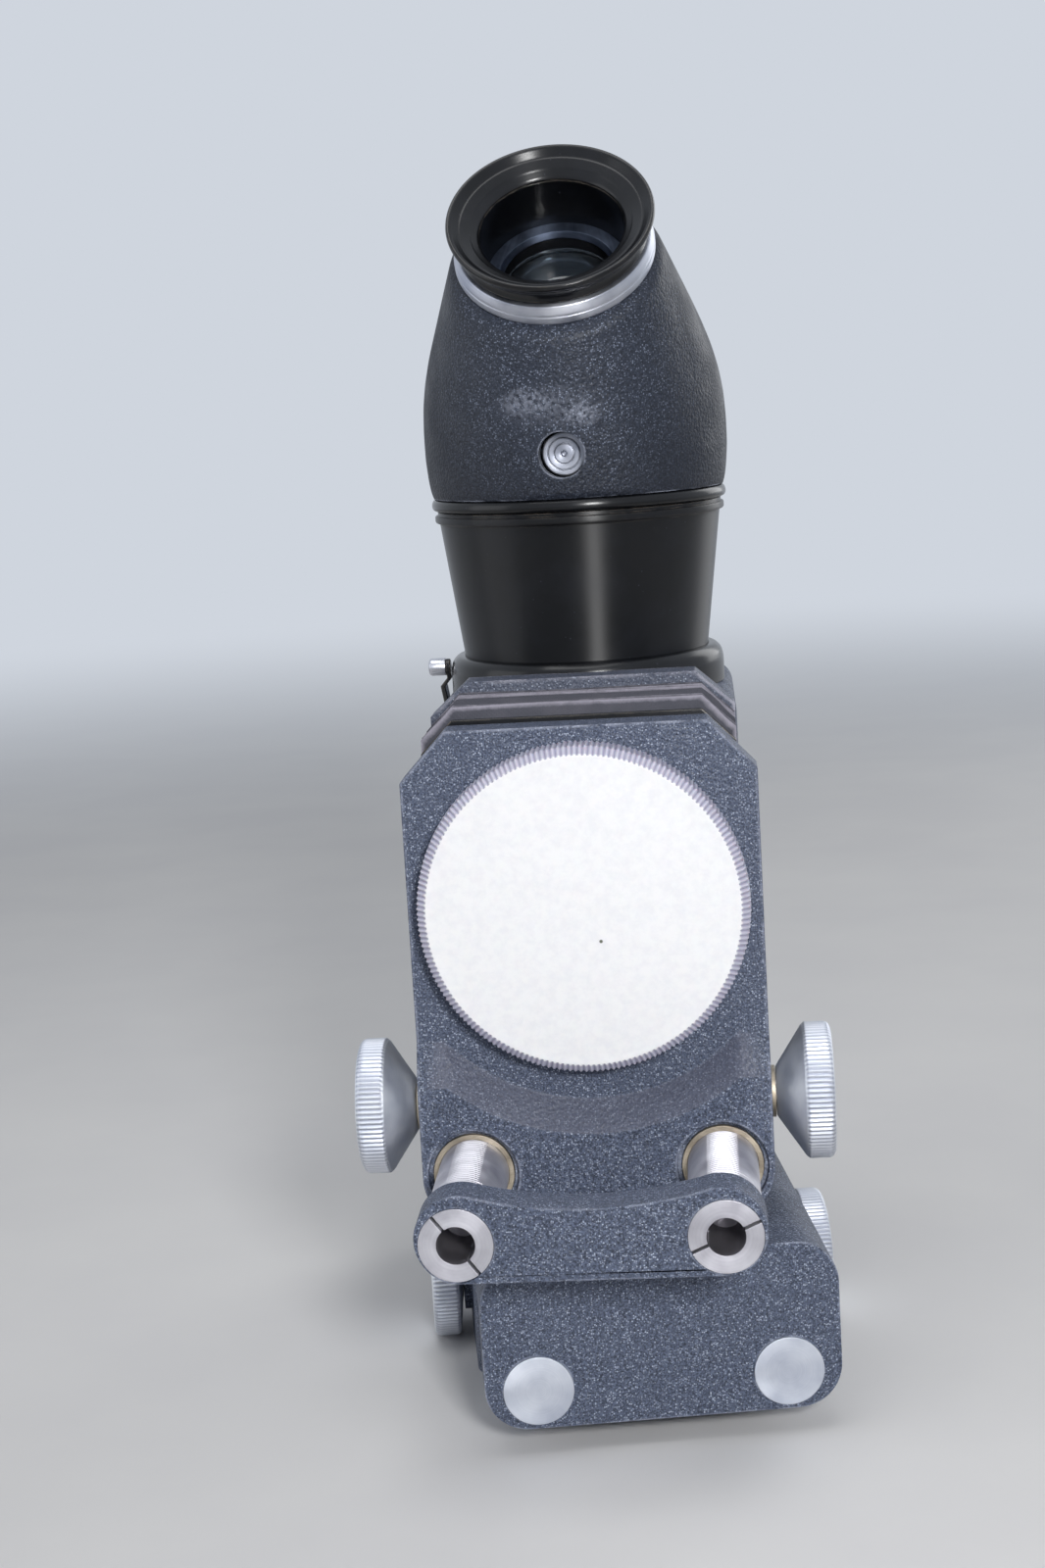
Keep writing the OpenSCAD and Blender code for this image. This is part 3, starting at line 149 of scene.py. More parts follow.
def hammerEnamel(name, s, smudges=(), glintsKeptAt=None):
    # stoved hammer enamel on cast aluminium: a pimpled dark skin with fine pale pin-points painted on as the
    # glints its tops catch, rubbed pale along the edges
    material, tree, shader, place = newMaterial(name, {"Roughness": 0.42, "IOR": 1.5, "Specular IOR Level": 0.4})
    grain = addNode(tree, "ShaderNodeTexVoronoi",
                    {"feature": "SMOOTH_F1", "Scale": 1000 / s["grain"], "Smoothness": 0.7}, {"Vector": place})
    ripple = addNode(tree, "ShaderNodeTexNoise", {"Scale": 1000 / (s["grain"] * 1.4), "Detail": 4, "Roughness": 0.6},
                     {"Vector": place})
    height = addNode(tree, "ShaderNodeMath", {"operation": "MULTIPLY_ADD", 1: -0.8},
                     {0: grain.outputs["Distance"], 2: ripple.outputs["Fac"]})
    bump = addNode(tree, "ShaderNodeBump", {"Strength": 0.75, "Distance": 0.00022}, {"Height": height.outputs[0]})
    tree.links.new(bump.outputs["Normal"], shader.inputs["Normal"])
    # painted glints: pale pin-points in chosen cells, standing in for the light caught on the pimples' tops
    cells = addNode(tree, "ShaderNodeTexVoronoi", {"Scale": 1000 / s["glintSize"]}, {"Vector": place})
    chance = addNode(tree, "ShaderNodeSeparateColor", {}, {0: cells.outputs["Color"]})
    chosen = addNode(tree, "ShaderNodeMapRange", {"From Min": 1 - s["glintShare"], "From Max": 1.0},
                     {"Value": chance.outputs["Red"]})
    near = addNode(tree, "ShaderNodeMapRange", {"From Min": 0.62, "From Max": 0.15},
                   {"Value": cells.outputs["Distance"]})
    paintedGlints = addNode(tree, "ShaderNodeMath", {"operation": "MULTIPLY"},
                     {0: chosen.outputs["Result"], 1: near.outputs["Result"]})
    drift = addNode(tree, "ShaderNodeTexNoise", {"Scale": 1000 / s["dust"], "Detail": 3}, {"Vector": place})
    share = addNode(tree, "ShaderNodeMapRange", {"From Min": 0.3, "From Max": 0.7, "To Min": 0.55, "To Max": 1.0},
                    {"Value": drift.outputs["Fac"]})
    paintedGlints = addNode(tree, "ShaderNodeMath", {"operation": "MULTIPLY"},
                     {0: paintedGlints.outputs[0], 1: share.outputs["Result"]})
    sand = addNode(tree, "ShaderNodeTexNoise", {"Scale": 1000 / (s["grain"] * 0.55), "Detail": 2, "Roughness": 0.7},
                   {"Vector": place})
    grit = sand.outputs["Fac"]
    if glintsKeptAt:  # centre and reach of the lit front part that keeps its full painted glints
        litFront = addNode(tree, "ShaderNodeMapRange", {"From Min": 0.6, "From Max": 1.5, "To Min": 1.0, "To Max": 0.12},
                       {"Value": awayFrom(tree, place, *glintsKeptAt)})
        paintedGlints = addNode(tree, "ShaderNodeMath", {"operation": "MULTIPLY"},
                         {0: paintedGlints.outputs[0], 1: litFront.outputs["Result"]})
        # away from the lit front the glints fade and the skin is painted darker: painted shade on the sides and back
        paintedShade = addNode(tree, "ShaderNodeMath", {"operation": "MULTIPLY_ADD", 1: 0.16, 2: -0.14},
                         {0: litFront.outputs["Result"]})
        grit = addNode(tree, "ShaderNodeMath", {"operation": "ADD"}, {0: grit, 1: paintedShade.outputs[0]}).outputs[0]
    skin = addNode(tree, "ShaderNodeValToRGB", {"stops": [(0.36, s["deep"]), (0.66, s["pale"])]}, {"Fac": grit})
    glinted = addNode(tree, "ShaderNodeMix", {"data_type": "RGBA", 7: s["glint"]},
                      {"Factor": paintedGlints.outputs[0], 6: skin.outputs["Color"]})
    worn = addNode(tree, "ShaderNodeMix", {"data_type": "RGBA", 7: s["worn"]},
                   {"Factor": edgeWear(tree, place, s["edge"], s["patch"], s["wear"]), 6: glinted.outputs[2]})
    colour = worn.outputs[2]
    if "slopeLight" in s:  # slanting faces above the rod block, facing up and forward: painted paler for the light from above that falls on them, which also covers most painted glints where the enamel is smoother
        facing = addNode(tree, "ShaderNodeSeparateXYZ", {}, {0: addNode(tree, "ShaderNodeTexCoord").outputs["Normal"]})
        slant = addNode(tree, "ShaderNodeMapRange", {"From Min": 0.2, "From Max": 0.4}, {"Value": facing.outputs["Z"]})
        ahead = addNode(tree, "ShaderNodeMapRange", {"From Min": -0.15, "From Max": -0.3},
                        {"Value": facing.outputs["Y"]})
        both = addNode(tree, "ShaderNodeMath", {"operation": "MULTIPLY"}, {0: slant.outputs[0], 1: ahead.outputs[0]})
        slopeLit = addNode(tree, "ShaderNodeMath", {"operation": "MULTIPLY", 1: s["slopeLightShare"]}, {0: both.outputs[0]})
        colour = addNode(tree, "ShaderNodeMix", {"data_type": "RGBA", 7: s["slopeLight"]},
                         {"Factor": slopeLit.outputs[0], 6: colour}).outputs[2]
    for centre, reach, depth in smudges:
        patch = addNode(tree, "ShaderNodeMapRange", {"From Min": 1.0, "From Max": 0.3, "To Max": depth},
                        {"Value": awayFrom(tree, place, centre, reach)})
        ragged = addNode(tree, "ShaderNodeMapRange", {"From Min": 0.38, "From Max": 0.62},
                         {"Value": ripple.outputs["Fac"]})
        rubbed = addNode(tree, "ShaderNodeMath", {"operation": "MULTIPLY"},
                         {0: patch.outputs["Result"], 1: ragged.outputs["Result"]})
        colour = addNode(tree, "ShaderNodeMix", {"data_type": "RGBA", 7: s["worn"]},
                         {"Factor": rubbed.outputs[0], 6: colour}).outputs[2]
    tree.links.new(colour, shader.inputs["Base Color"])
    gloss = addNode(tree, "ShaderNodeMapRange", {"From Min": 0.3, "From Max": 0.7, "To Min": 0.42, "To Max": 0.6},
                    {"Value": drift.outputs["Fac"]})
    tree.links.new(gloss.outputs["Result"], shader.inputs["Roughness"])
    return material


glossSettings = {"deep": "#07080b", "dust": "#2c2e37", "worn": "#a59a8c", "line": 0.35, "edge": 0.35, "patch": 3.0}


def glossEnamel(name, s, roughness=0.22, stretch=0.6, wear=0.5):
    # gloss black stoving enamel over turned brass and aluminium: a deep shine drawn out across the lathe's lines,
    # a little dust, and metal rubbed through on the rims
    material, tree, shader, place = newMaterial(name, {"Roughness": roughness, "IOR": 1.52, "Specular IOR Level": 0.4,
                                                       "Anisotropic": stretch, "Anisotropic Rotation": 0.25})
    around = addNode(tree, "ShaderNodeTangent", {"direction_type": "RADIAL", "axis": "Z"})
    tree.links.new(around.outputs["Tangent"], shader.inputs["Tangent"])
    lines, radius = latheLines(tree, place, s["line"])
    bump = addNode(tree, "ShaderNodeBump", {"Strength": 0.25, "Distance": 0.00002}, {"Height": lines})
    tree.links.new(bump.outputs["Normal"], shader.inputs["Normal"])
    drift = addNode(tree, "ShaderNodeTexNoise", {"Scale": 1000 / 14, "Detail": 5, "Roughness": 0.65}, {"Vector": place})
    film = addNode(tree, "ShaderNodeMapRange", {"From Min": 0.45, "From Max": 0.8, "To Max": 0.25},
                   {"Value": drift.outputs["Fac"]})
    motes = addNode(tree, "ShaderNodeTexVoronoi", {"Scale": 1000 / 2.4}, {"Vector": place})
    mote = addNode(tree, "ShaderNodeMapRange", {"From Min": 0.07, "From Max": 0.04},
                   {"Value": motes.outputs["Distance"]})
    dusty = addNode(tree, "ShaderNodeMath", {"operation": "MAXIMUM"},
                    {0: film.outputs["Result"], 1: mote.outputs["Result"]})
    skin = addNode(tree, "ShaderNodeMix", {"data_type": "RGBA", 6: s["deep"], 7: s["dust"]},
                   {"Factor": dusty.outputs[0]})
    worn = addNode(tree, "ShaderNodeMix", {"data_type": "RGBA", 7: s["worn"]},
                   {"Factor": edgeWear(tree, place, s["edge"], s["patch"], wear), 6: skin.outputs[2]})
    tree.links.new(worn.outputs[2], shader.inputs["Base Color"])
    gloss = addNode(tree, "ShaderNodeMapRange", {"From Min": 0.35, "From Max": 0.75, "To Min": roughness,
                                                 "To Max": roughness + 0.06}, {"Value": drift.outputs["Fac"]})
    tree.links.new(gloss.outputs["Result"], shader.inputs["Roughness"])
    return material


def turnedMetal(name, deep, pale, roughness, line=0.3, centre=(0, 0, 0), turn=(0, 0, 0), recessTone="#7c7f90", cut=0.35,
                thread=None, bore=None, stretch=0.4):
    # bare turned metal, satin from the tool: rings on its faces, lines round its sides that draw the shine out,
    # dull blotches from handling, and a darker tone in whatever is cut into it
    material, tree, shader, place = newMaterial(name, {"Roughness": roughness, "Metallic": 1.0, "Anisotropic": stretch,
                                                       "Anisotropic Rotation": 0.25})
    around = addNode(tree, "ShaderNodeTangent", {"direction_type": "RADIAL", "axis": "Y" if turn[0] else "Z"})
    tree.links.new(around.outputs["Tangent"], shader.inputs["Tangent"])
    lines, radius = latheLines(tree, place, line, centre, turn)
    soft = addNode(tree, "ShaderNodeBevel", {"samples": 4, "Radius": 0.00022})
    bump = addNode(tree, "ShaderNodeBump", {"Strength": cut, "Distance": 0.00003},
                   {"Height": lines, "Normal": soft.outputs["Normal"]})
    normal = bump.outputs["Normal"]
    if thread:  # screw thread in a bore: (bore radius, pitch)
        bore, pitch = thread
        local = addNode(tree, "ShaderNodeMapping",
                        {"vector_type": "TEXTURE", "Rotation": [math.radians(t) for t in turn]}, {"Vector": place})
        turns = addNode(tree, "ShaderNodeTexWave", {"bands_direction": "Z", "Scale": 314 / pitch},
                        {"Vector": local.outputs[0]})
        inside = addNode(tree, "ShaderNodeMath", {"operation": "LESS_THAN", 1: (bore + 0.1) * 0.001}, {0: radius})
        ridge = addNode(tree, "ShaderNodeMath", {"operation": "MULTIPLY"},
                        {0: turns.outputs["Fac"], 1: inside.outputs[0]})
        normal = addNode(tree, "ShaderNodeBump", {"Strength": 1.0, "Distance": 0.0004},
                         {"Height": ridge.outputs[0], "Normal": normal}).outputs["Normal"]
    tree.links.new(normal, shader.inputs["Normal"])
    blotch = addNode(tree, "ShaderNodeTexNoise", {"Scale": 1000 / 6, "Detail": 4, "Roughness": 0.5}, {"Vector": place})
    tone = addNode(tree, "ShaderNodeMath", {"operation": "MULTIPLY_ADD", 1: 0.35}, {0: lines, 2: blotch.outputs["Fac"]})
    metal = addNode(tree, "ShaderNodeValToRGB", {"stops": [(0.45, deep), (0.9, pale)]}, {"Fac": tone.outputs[0]})
    groove = addNode(tree, "ShaderNodeAttribute", {"attribute_name": "groove"})
    inRecess = addNode(tree, "ShaderNodeMath", {"operation": "MULTIPLY", 1: 0.85}, {0: groove.outputs["Fac"]})
    if bore:  # darker tone in a bore of this radius, threaded or plain
        inside = addNode(tree, "ShaderNodeMath", {"operation": "LESS_THAN", 1: (bore + 0.05) * 0.001}, {0: radius})
        inRecess = addNode(tree, "ShaderNodeMath", {"operation": "MAXIMUM"}, {0: inRecess.outputs[0], 1: inside.outputs[0]})
    full = addNode(tree, "ShaderNodeMix", {"data_type": "RGBA", 7: recessTone},
                   {"Factor": inRecess.outputs[0], 6: metal.outputs["Color"]})
    tree.links.new(full.outputs[2], shader.inputs["Base Color"])
    dull = addNode(tree, "ShaderNodeMapRange", {"From Min": 0.3, "From Max": 0.7, "To Min": roughness - 0.05,
                                                "To Max": roughness + 0.1}, {"Value": blotch.outputs["Fac"]})
    tree.links.new(dull.outputs["Result"], shader.inputs["Roughness"])
    return material


clothSettings = {"foldShade": "#16171d", "cloth": "#373842", "crest": "#8e8b97", "dust": "#605d66", "thread": 0.45}


def coatedCloth(s):
    # leathercloth: fine cotton under a black rubber coat, its weave just showing (drawn at 0.45 mm, coarser than the
    # real 0.25 mm, so that it shows), grey where the folds' crests have rubbed, with painted shade in the folds'
    # valleys
    material, tree, shader, place = newMaterial("coatedCloth", {"Roughness": 0.7, "IOR": 1.5, "Sheen Weight": 0.15})
    along = addNode(tree, "ShaderNodeTexWave", {"bands_direction": "X", "Scale": 314 / s["thread"], "Distortion": 0.6,
                                                "Detail": 1}, {"Vector": place})
    across = addNode(tree, "ShaderNodeTexWave", {"bands_direction": "DIAGONAL", "Scale": 314 / s["thread"],
                                                 "Distortion": 0.6, "Detail": 1}, {"Vector": place})
    weave = addNode(tree, "ShaderNodeMath", {"operation": "MULTIPLY"},
                    {0: along.outputs["Fac"], 1: across.outputs["Fac"]})
    creases = addNode(tree, "ShaderNodeTexNoise", {"Scale": 1000 / 2.2, "Detail": 5, "Roughness": 0.65},
                      {"Vector": place})
    height = addNode(tree, "ShaderNodeMath", {"operation": "MULTIPLY_ADD", 1: 0.5},
                     {0: weave.outputs[0], 2: creases.outputs["Fac"]})
    bump = addNode(tree, "ShaderNodeBump", {"Strength": 0.6, "Distance": 0.00015}, {"Height": height.outputs[0]})
    tree.links.new(bump.outputs["Normal"], shader.inputs["Normal"])
    crest = addNode(tree, "ShaderNodeAttribute", {"attribute_name": "crest"})
    rough = addNode(tree, "ShaderNodeMath", {"operation": "MULTIPLY_ADD", 1: 0.22, 2: -0.11},
                    {0: creases.outputs["Fac"]})
    level = addNode(tree, "ShaderNodeMath", {"operation": "ADD"}, {0: crest.outputs["Fac"], 1: rough.outputs[0]})
    # darkest at the folds' valleys: painted shade
    tone = addNode(tree, "ShaderNodeValToRGB", {"stops": [(0.08, s["foldShade"]), (0.45, s["cloth"]), (0.8, s["cloth"]),
                                                          (0.97, s["crest"])]}, {"Fac": level.outputs[0]})
    drift = addNode(tree, "ShaderNodeTexNoise", {"Scale": 1000 / 7, "Detail": 3}, {"Vector": place})
    film = addNode(tree, "ShaderNodeMapRange", {"From Min": 0.45, "From Max": 0.8, "To Max": 0.35},
                   {"Value": drift.outputs["Fac"]})
    dusty = addNode(tree, "ShaderNodeMix", {"data_type": "RGBA", 7: s["dust"]},
                    {"Factor": film.outputs["Result"], 6: tone.outputs["Color"]})
    tree.links.new(dusty.outputs[2], shader.inputs["Base Color"])
    return material


# ribs is the greyer colour painted on the ribbed rim as its shade
plasticSettings = {"body": "#e9e9ea", "shade": "#e3e3e6", "ribs": "#c6c4d3", "recessTone": "#8f8da3", "spotAt": (3.0, -5.6),
                   "spotSize": 0.35, "ribsFrom": 28.6}


def mouldedPlastic(s):
    # white moulded polystyrene: smooth and slightly waxy, handled to a faint mottle; its ribbed rim is painted greyer
    # as painted shade of the ribs, and darker still in the ribs' grooves
    material, tree, shader, place = newMaterial(
        "mouldedPlastic", {"Roughness": 0.42, "IOR": 1.59, "Subsurface Weight": 0.06, "Subsurface Scale": 0.001})
    mottle = addNode(tree, "ShaderNodeTexNoise", {"Scale": 1000 / 1.6, "Detail": 5, "Roughness": 0.6},
                     {"Vector": place})
    body = addNode(tree, "ShaderNodeValToRGB", {"stops": [(0.35, s["shade"]), (0.6, s["body"])]},
                   {"Fac": mottle.outputs["Fac"]})
    flat = addNode(tree, "ShaderNodeVectorMath", {"operation": "MULTIPLY", 1: (1, 1, 0)}, {0: place})
    radius = addNode(tree, "ShaderNodeVectorMath", {"operation": "LENGTH"}, {0: flat.outputs[0]})
    # painted shade: the rim beyond ribsFrom takes the greyer ribs colour
    outer = addNode(tree, "ShaderNodeMapRange",
                    {"From Min": s["ribsFrom"] * 0.001, "From Max": (s["ribsFrom"] + 0.2) * 0.001},
                    {"Value": radius.outputs["Value"]})
    shadedRim = addNode(tree, "ShaderNodeMix", {"data_type": "RGBA", 7: s["ribs"]},
                      {"Factor": outer.outputs["Result"], 6: body.outputs["Color"]})
    groove = addNode(tree, "ShaderNodeAttribute", {"attribute_name": "groove"})
    inRecess = addNode(tree, "ShaderNodeMix", {"data_type": "RGBA", 7: s["recessTone"]},
                    {"Factor": groove.outputs["Fac"], 6: shadedRim.outputs[2]})
    spot = addNode(tree, "ShaderNodeVectorMath", {"operation": "DISTANCE", 1: (s["spotAt"][0] * 0.001,
                                                  s["spotAt"][1] * 0.001, 0.00725)}, {0: place})
    mark = addNode(tree, "ShaderNodeMapRange", {"From Min": s["spotSize"] * 0.0011, "From Max": s["spotSize"] * 0.0007},
                   {"Value": spot.outputs["Value"]})
    marked = addNode(tree, "ShaderNodeMix", {"data_type": "RGBA", 7: "#5c5f52"},
                     {"Factor": mark.outputs["Result"], 6: inRecess.outputs[2]})
    tree.links.new(marked.outputs[2], shader.inputs["Base Color"])
    scuffs = addNode(tree, "ShaderNodeTexNoise", {"Scale": 1000 / 0.6, "Detail": 3}, {"Vector": place})
    bump = addNode(tree, "ShaderNodeBump", {"Strength": 0.2, "Distance": 0.00004}, {"Height": scuffs.outputs["Fac"]})
    tree.links.new(bump.outputs["Normal"], shader.inputs["Normal"])
    gloss = addNode(tree, "ShaderNodeMapRange", {"From Min": 0.3, "From Max": 0.7, "To Min": 0.34, "To Max": 0.52},
                    {"Value": mottle.outputs["Fac"]})
    tree.links.new(gloss.outputs["Result"], shader.inputs["Roughness"])
    return material


def polishedGlass(name, clear, roughness=0.02):
    # ground and polished optical glass: clear, with a cool coat and a veil of dust
    material, tree, shader, place = newMaterial(
        name, {"Roughness": roughness, "IOR": 1.52, "Transmission Weight": clear, "Coat Weight": 0.3,
               "Coat Roughness": 0.05})
    drift = addNode(tree, "ShaderNodeTexNoise", {"Scale": 1000 / 2.5, "Detail": 5, "Roughness": 0.7}, {"Vector": place})
    tint = addNode(tree, "ShaderNodeValToRGB", {"stops": [(0.35, "#e2ebf2"), (0.75, "#c3cdd8")]},
                   {"Fac": drift.outputs["Fac"]})
    tree.links.new(tint.outputs["Color"], shader.inputs["Base Color"])
    veil = addNode(tree, "ShaderNodeMapRange", {"From Min": 0.4, "From Max": 0.8, "To Min": roughness,
                                                "To Max": roughness + 0.12}, {"Value": drift.outputs["Fac"]})
    tree.links.new(veil.outputs["Result"], shader.inputs["Roughness"])
    return material


def silveredGlass():
    # front-silvered mirror glass: a bright film, faintly clouded by age
    material, tree, shader, place = newMaterial("silveredGlass", {"Roughness": 0.03, "Metallic": 1.0})
    cloud = addNode(tree, "ShaderNodeTexNoise", {"Scale": 1000 / 6, "Detail": 4}, {"Vector": place})
    tint = addNode(tree, "ShaderNodeValToRGB", {"stops": [(0.4, "#e9ebee"), (0.75, "#bfc2c8")]},
                   {"Fac": cloud.outputs["Fac"]})
    tree.links.new(tint.outputs["Color"], shader.inputs["Base Color"])
    haze = addNode(tree, "ShaderNodeMapRange", {"From Min": 0.4, "From Max": 0.8, "To Min": 0.02, "To Max": 0.12},
                   {"Value": cloud.outputs["Fac"]})
    tree.links.new(haze.outputs["Result"], shader.inputs["Roughness"])
    return material


axisHeight, bedHeight, railHeight = 97.0, 47.3, 12.1
bedRodAt, railRodAt, railAngle = 23.0, 22.8, 7.4
finishes = {
    "black_hammer_enamel": hammerEnamel("hammerEnamel", enamelSettings),
    "black_gloss_enamel": glossEnamel("glossEnamel", glossSettings),
    "bellows_cloth": coatedCloth(clothSettings),
    "satin_aluminium": turnedMetal("turnedAluminium", "#c6c9d2", "#e2e3e7", 0.42),
    "satin_chrome": turnedMetal("satinChrome", "#bfc1ca", "#dddee3", 0.3),
    "brass": turnedMetal("agedBrass", "#8f8474", "#c4b9a6", 0.46, recessTone="#5a4e3e"),
    "white_plastic": mouldedPlastic(plasticSettings),
    "optical_glass": polishedGlass("opticalGlass", 1.0),
    "mirror_glass": silveredGlass(),
}
railTurnedX, railTurnedY = math.cos(math.radians(railAngle)), math.sin(math.radians(railAngle))
ownFinishes = {
    "camera_ring": turnedMetal("cameraRing", "#c4c7cf", "#e0e1e5", 0.36, 0.3, (0, 0, axisHeight), (90, 0, 0),
                               thread=(21.0, 1.0)),
    "lens_ring": turnedMetal("lensRing", "#c4c7cf", "#e0e1e5", 0.36, 0.3, (0, 0, axisHeight), (90, 0, 0),
                             thread=(21.0, 0.75)),
    "lens_retainer": turnedMetal("blackenedRing", "#3a4150", "#6c7689", 0.4, 0.5),
    "rear_standard": hammerEnamel("wornEnamel", wornEnamelSettings),
    "front_standard": hammerEnamel("slopeLitEnamel", slopeLitEnamelSettings),
}
for side, way in (("left", -1), ("right", 1)):
    ownFinishes["bed_rod_" + side] = turnedMetal(
        "groundRod" + side.title(), "#b4b2ba", "#dad9de", 0.48, 0.5, (way * bedRodAt, 0, bedHeight), (90, 0, 0),
        "#8d8a90", bore=3.35)
    ownFinishes["rail_rod_" + side] = turnedMetal(
        "railRod" + side.title(), "#bfc5d3", "#e0e4ec", 0.42, 0.28,
        (way * railRodAt * railTurnedX, way * railRodAt * railTurnedY, railHeight), (90, 0, railAngle))
slotOf = {row["node"]: row["material_slot"] for row in frame["record"]["subparts"]}
print("materials mixed:", len(bpy.data.materials))


# shapes

def moved(x, y, z):
    return Matrix.Translation((x, y, z))


def turnedBy(angle, axis):
    return Matrix.Rotation(math.radians(angle), 4, axis)


def inMetres(place):
    return Matrix.Translation(place.translation * 0.001) @ place.to_3x3().to_4x4()


def addPiece(name, body, finish, verts, faces, marks=None, place=Matrix.Identity(4), nodes=(), sharp=38):
    # verts are local millimetres; marks are values kept at the points for the material, such as the depth of a groove
    mesh = bpy.data.meshes.new(name)
    mesh.from_pydata([Vector(v) * 0.001 for v in verts], [], faces)
    for label, values in (marks or {}).items():
        mesh.attributes.new(label, "FLOAT", "POINT").data.foreach_set("value", values)
    work = bmesh.new()
    work.from_mesh(mesh)
    bmesh.ops.recalc_face_normals(work, faces=work.faces)
    work.to_mesh(mesh)
    work.free()
    mesh.shade_smooth()
    mesh.set_sharp_from_angle(angle=math.radians(sharp))
    piece = bpy.data.objects.new(name, mesh)
    bpy.context.scene.collection.objects.link(piece)
    piece.matrix_world = inMetres(place)
    mesh.materials.append(finish if isinstance(finish, bpy.types.Material) else finishes[finish])
    if body:
        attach(piece, body)
        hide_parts(*nodes)
    return piece


def rounded(outline, steps=4):
    # corners (radius, height, fillet, rib) with their fillets drawn as short curves
    points = []
    for i, corner in enumerate(outline):
        r, h, fillet, rib = (tuple(corner) + (0, 0))[:4]
        here, before, after = Vector((r, h)), Vector(outline[i - 1][:2]), Vector(outline[(i + 1) % len(outline)][:2])
        if not fillet or r == 0:
            points.append((r, h, rib))
            continue
        reach = min(fillet, (before - here).length * 0.49, (after - here).length * 0.49)
        start, end = here + (before - here).normalized() * reach, here + (after - here).normalized() * reach
        for k in range(steps + 1):
            t = k / steps
            spot = start * (1 - t) ** 2 + here * 2 * t * (1 - t) + end * t * t
            points.append((spot.x, spot.y, rib))
    return points


def turned(outline, steps=128, ribs=0):
    # solid of revolution about Z, closed from its last corner to its first; ribs are cut to each corner's rib depth
    verts, faces, rings, grooves = [], [], [], []
    for r, h, rib in rounded(outline):
        first = len(verts)
        if r == 0:
            verts.append((0, 0, h))
            grooves.append(0.0)
            rings.append([first])
            continue
        for i in range(steps):
            angle = 2 * math.pi * i / steps
            cut = (0.5 + 0.5 * math.cos(ribs * angle)) if rib else 0.0
            verts.append(((r - rib * cut) * math.cos(angle), (r - rib * cut) * math.sin(angle), h))
            grooves.append(cut)
        rings.append(list(range(first, first + steps)))
    for a, b in zip(rings, rings[1:] + rings[:1]):
        for i in range(steps):
            k = (i + 1) % steps
            if len(a) > 1 and len(b) > 1:
                faces.append((a[i], a[k], b[k], b[i]))
            elif len(a) > 1:
                faces.append((a[i], a[k], b[0]))
            elif len(b) > 1:
                faces.append((a[0], b[k], b[i]))
    return verts, faces, {"groove": grooves}


def softenEdges(node, width=0.3, segments=2):
    piece = frame["nodes"][node]
    normals = piece.data.attributes.get("custom_normal")
    if normals:
        piece.data.attributes.remove(normals)
    piece.data.shade_smooth()
    weld = piece.modifiers.new("weld", "WELD")
    weld.merge_threshold = 1e-6
    bevel = piece.modifiers.new("bevel", "BEVEL")
    bevel.width = width * 0.001
    bevel.segments = segments
    bevel.limit_method = "ANGLE"
    bevel.angle_limit = math.radians(32)
    bevel.harden_normals = True
    piece.modifiers.new("normals", "WEIGHTED_NORMAL").keep_sharp = True
    return piece


for node, piece in frame["nodes"].items():
    piece.data.materials.clear()
    piece.data.materials.append(ownFinishes.get(node) or finishes[slotOf[node]])
castingEdges = {"front_standard": 0.5, "front_bridge": 0.5, "rail_casting": 0.5, "rear_standard": 0.5,
                "reflex_housing": 0.4, "housing_back": 0.4, "carriage": 0.5, "bellows_frame": 0.25}
for node, width in castingEdges.items():
    softenEdges(node, width, 3)
for node in ("mirror_lever", "camera_ring", "lens_ring", "eye_lens"):
    softenEdges(node, 0.2, 2)
print("castings softened")

# cap

capSettings = {"back": -64.15, "height": 7.4, "radius": 30.2, "face": 28.4, "hollow": 28.05, "floor": 2.0,
               "ribs": 190, "ribDepth": 0.38, "bevel": 1.1}
c = capSettings
alongLens = moved(0, c["back"], axisHeight) @ turnedBy(90, "X")
addPiece("lensCap", "cap", "white_plastic", *turned([
    (0, c["height"] - 0.12),
    (c["face"] - 1.4, c["height"] - 0.08, 0.5),
    (c["face"] - 0.1, c["height"], 0.1),
    (c["face"] + 0.35, c["height"] - 0.06, 0.1, 0.3),
    (c["radius"] - 0.25, c["height"] - c["bevel"], 0.3, c["ribDepth"]),
    (c["radius"], c["height"] - c["bevel"] - 0.3, 0.2, c["ribDepth"]),
    (c["radius"], 0.5, 0.3, c["ribDepth"]),
    (c["radius"] - 0.6, 0, 0.2),
    (c["hollow"], 0, 0.2),
    (c["hollow"], c["height"] - c["floor"], 0.4),
    (0, c["height"] - c["floor"])], 4 * c["ribs"], c["ribs"]), alongLens, ["front_cap"])
print("cap made")

# knobs

knobSettings = {"rim": 5.4, "neck": 4.7, "ribs": 84, "ribDepth": 0.3, "dish": 0.35, "lip": 1.6, "roll": 1.0}
k = knobSettings
knobMetal = turnedMetal("knobAluminium", "#d3d7e0", "#eceef1", 0.5, 0.25, recessTone="#a3a7b6", stretch=0.3)


def addKnob(name, body, node, radius, reach, near, place):
    addPiece(name, body, knobMetal, *turned([
        (0, reach - k["dish"] - 0.25),
        (1.2, reach - k["dish"] - 0.25, 0.1),
        (1.6, reach - k["dish"], 0.15),
        (radius - k["lip"] - 1.4, reach - k["dish"], 0.4),
        (radius - k["lip"] - 0.9, reach, 0.5),
        (radius - k["roll"] - 0.1, reach, 0.3),
        (radius - 0.3, reach - k["roll"] * 0.45, 0.5, k["ribDepth"] * 0.6),
        (radius, reach - k["roll"] * 1.1, 0.3, k["ribDepth"]),
        (radius, reach - k["rim"] + 0.6, 0.2, k["ribDepth"]),
        (radius - 0.5, reach - k["rim"], 0.15),
        (k["neck"], near + 0.1, 0.3),
        (k["neck"] - 0.2, near, 0.1),
        (0, near)], 4 * k["ribs"], k["ribs"]), place, [node])


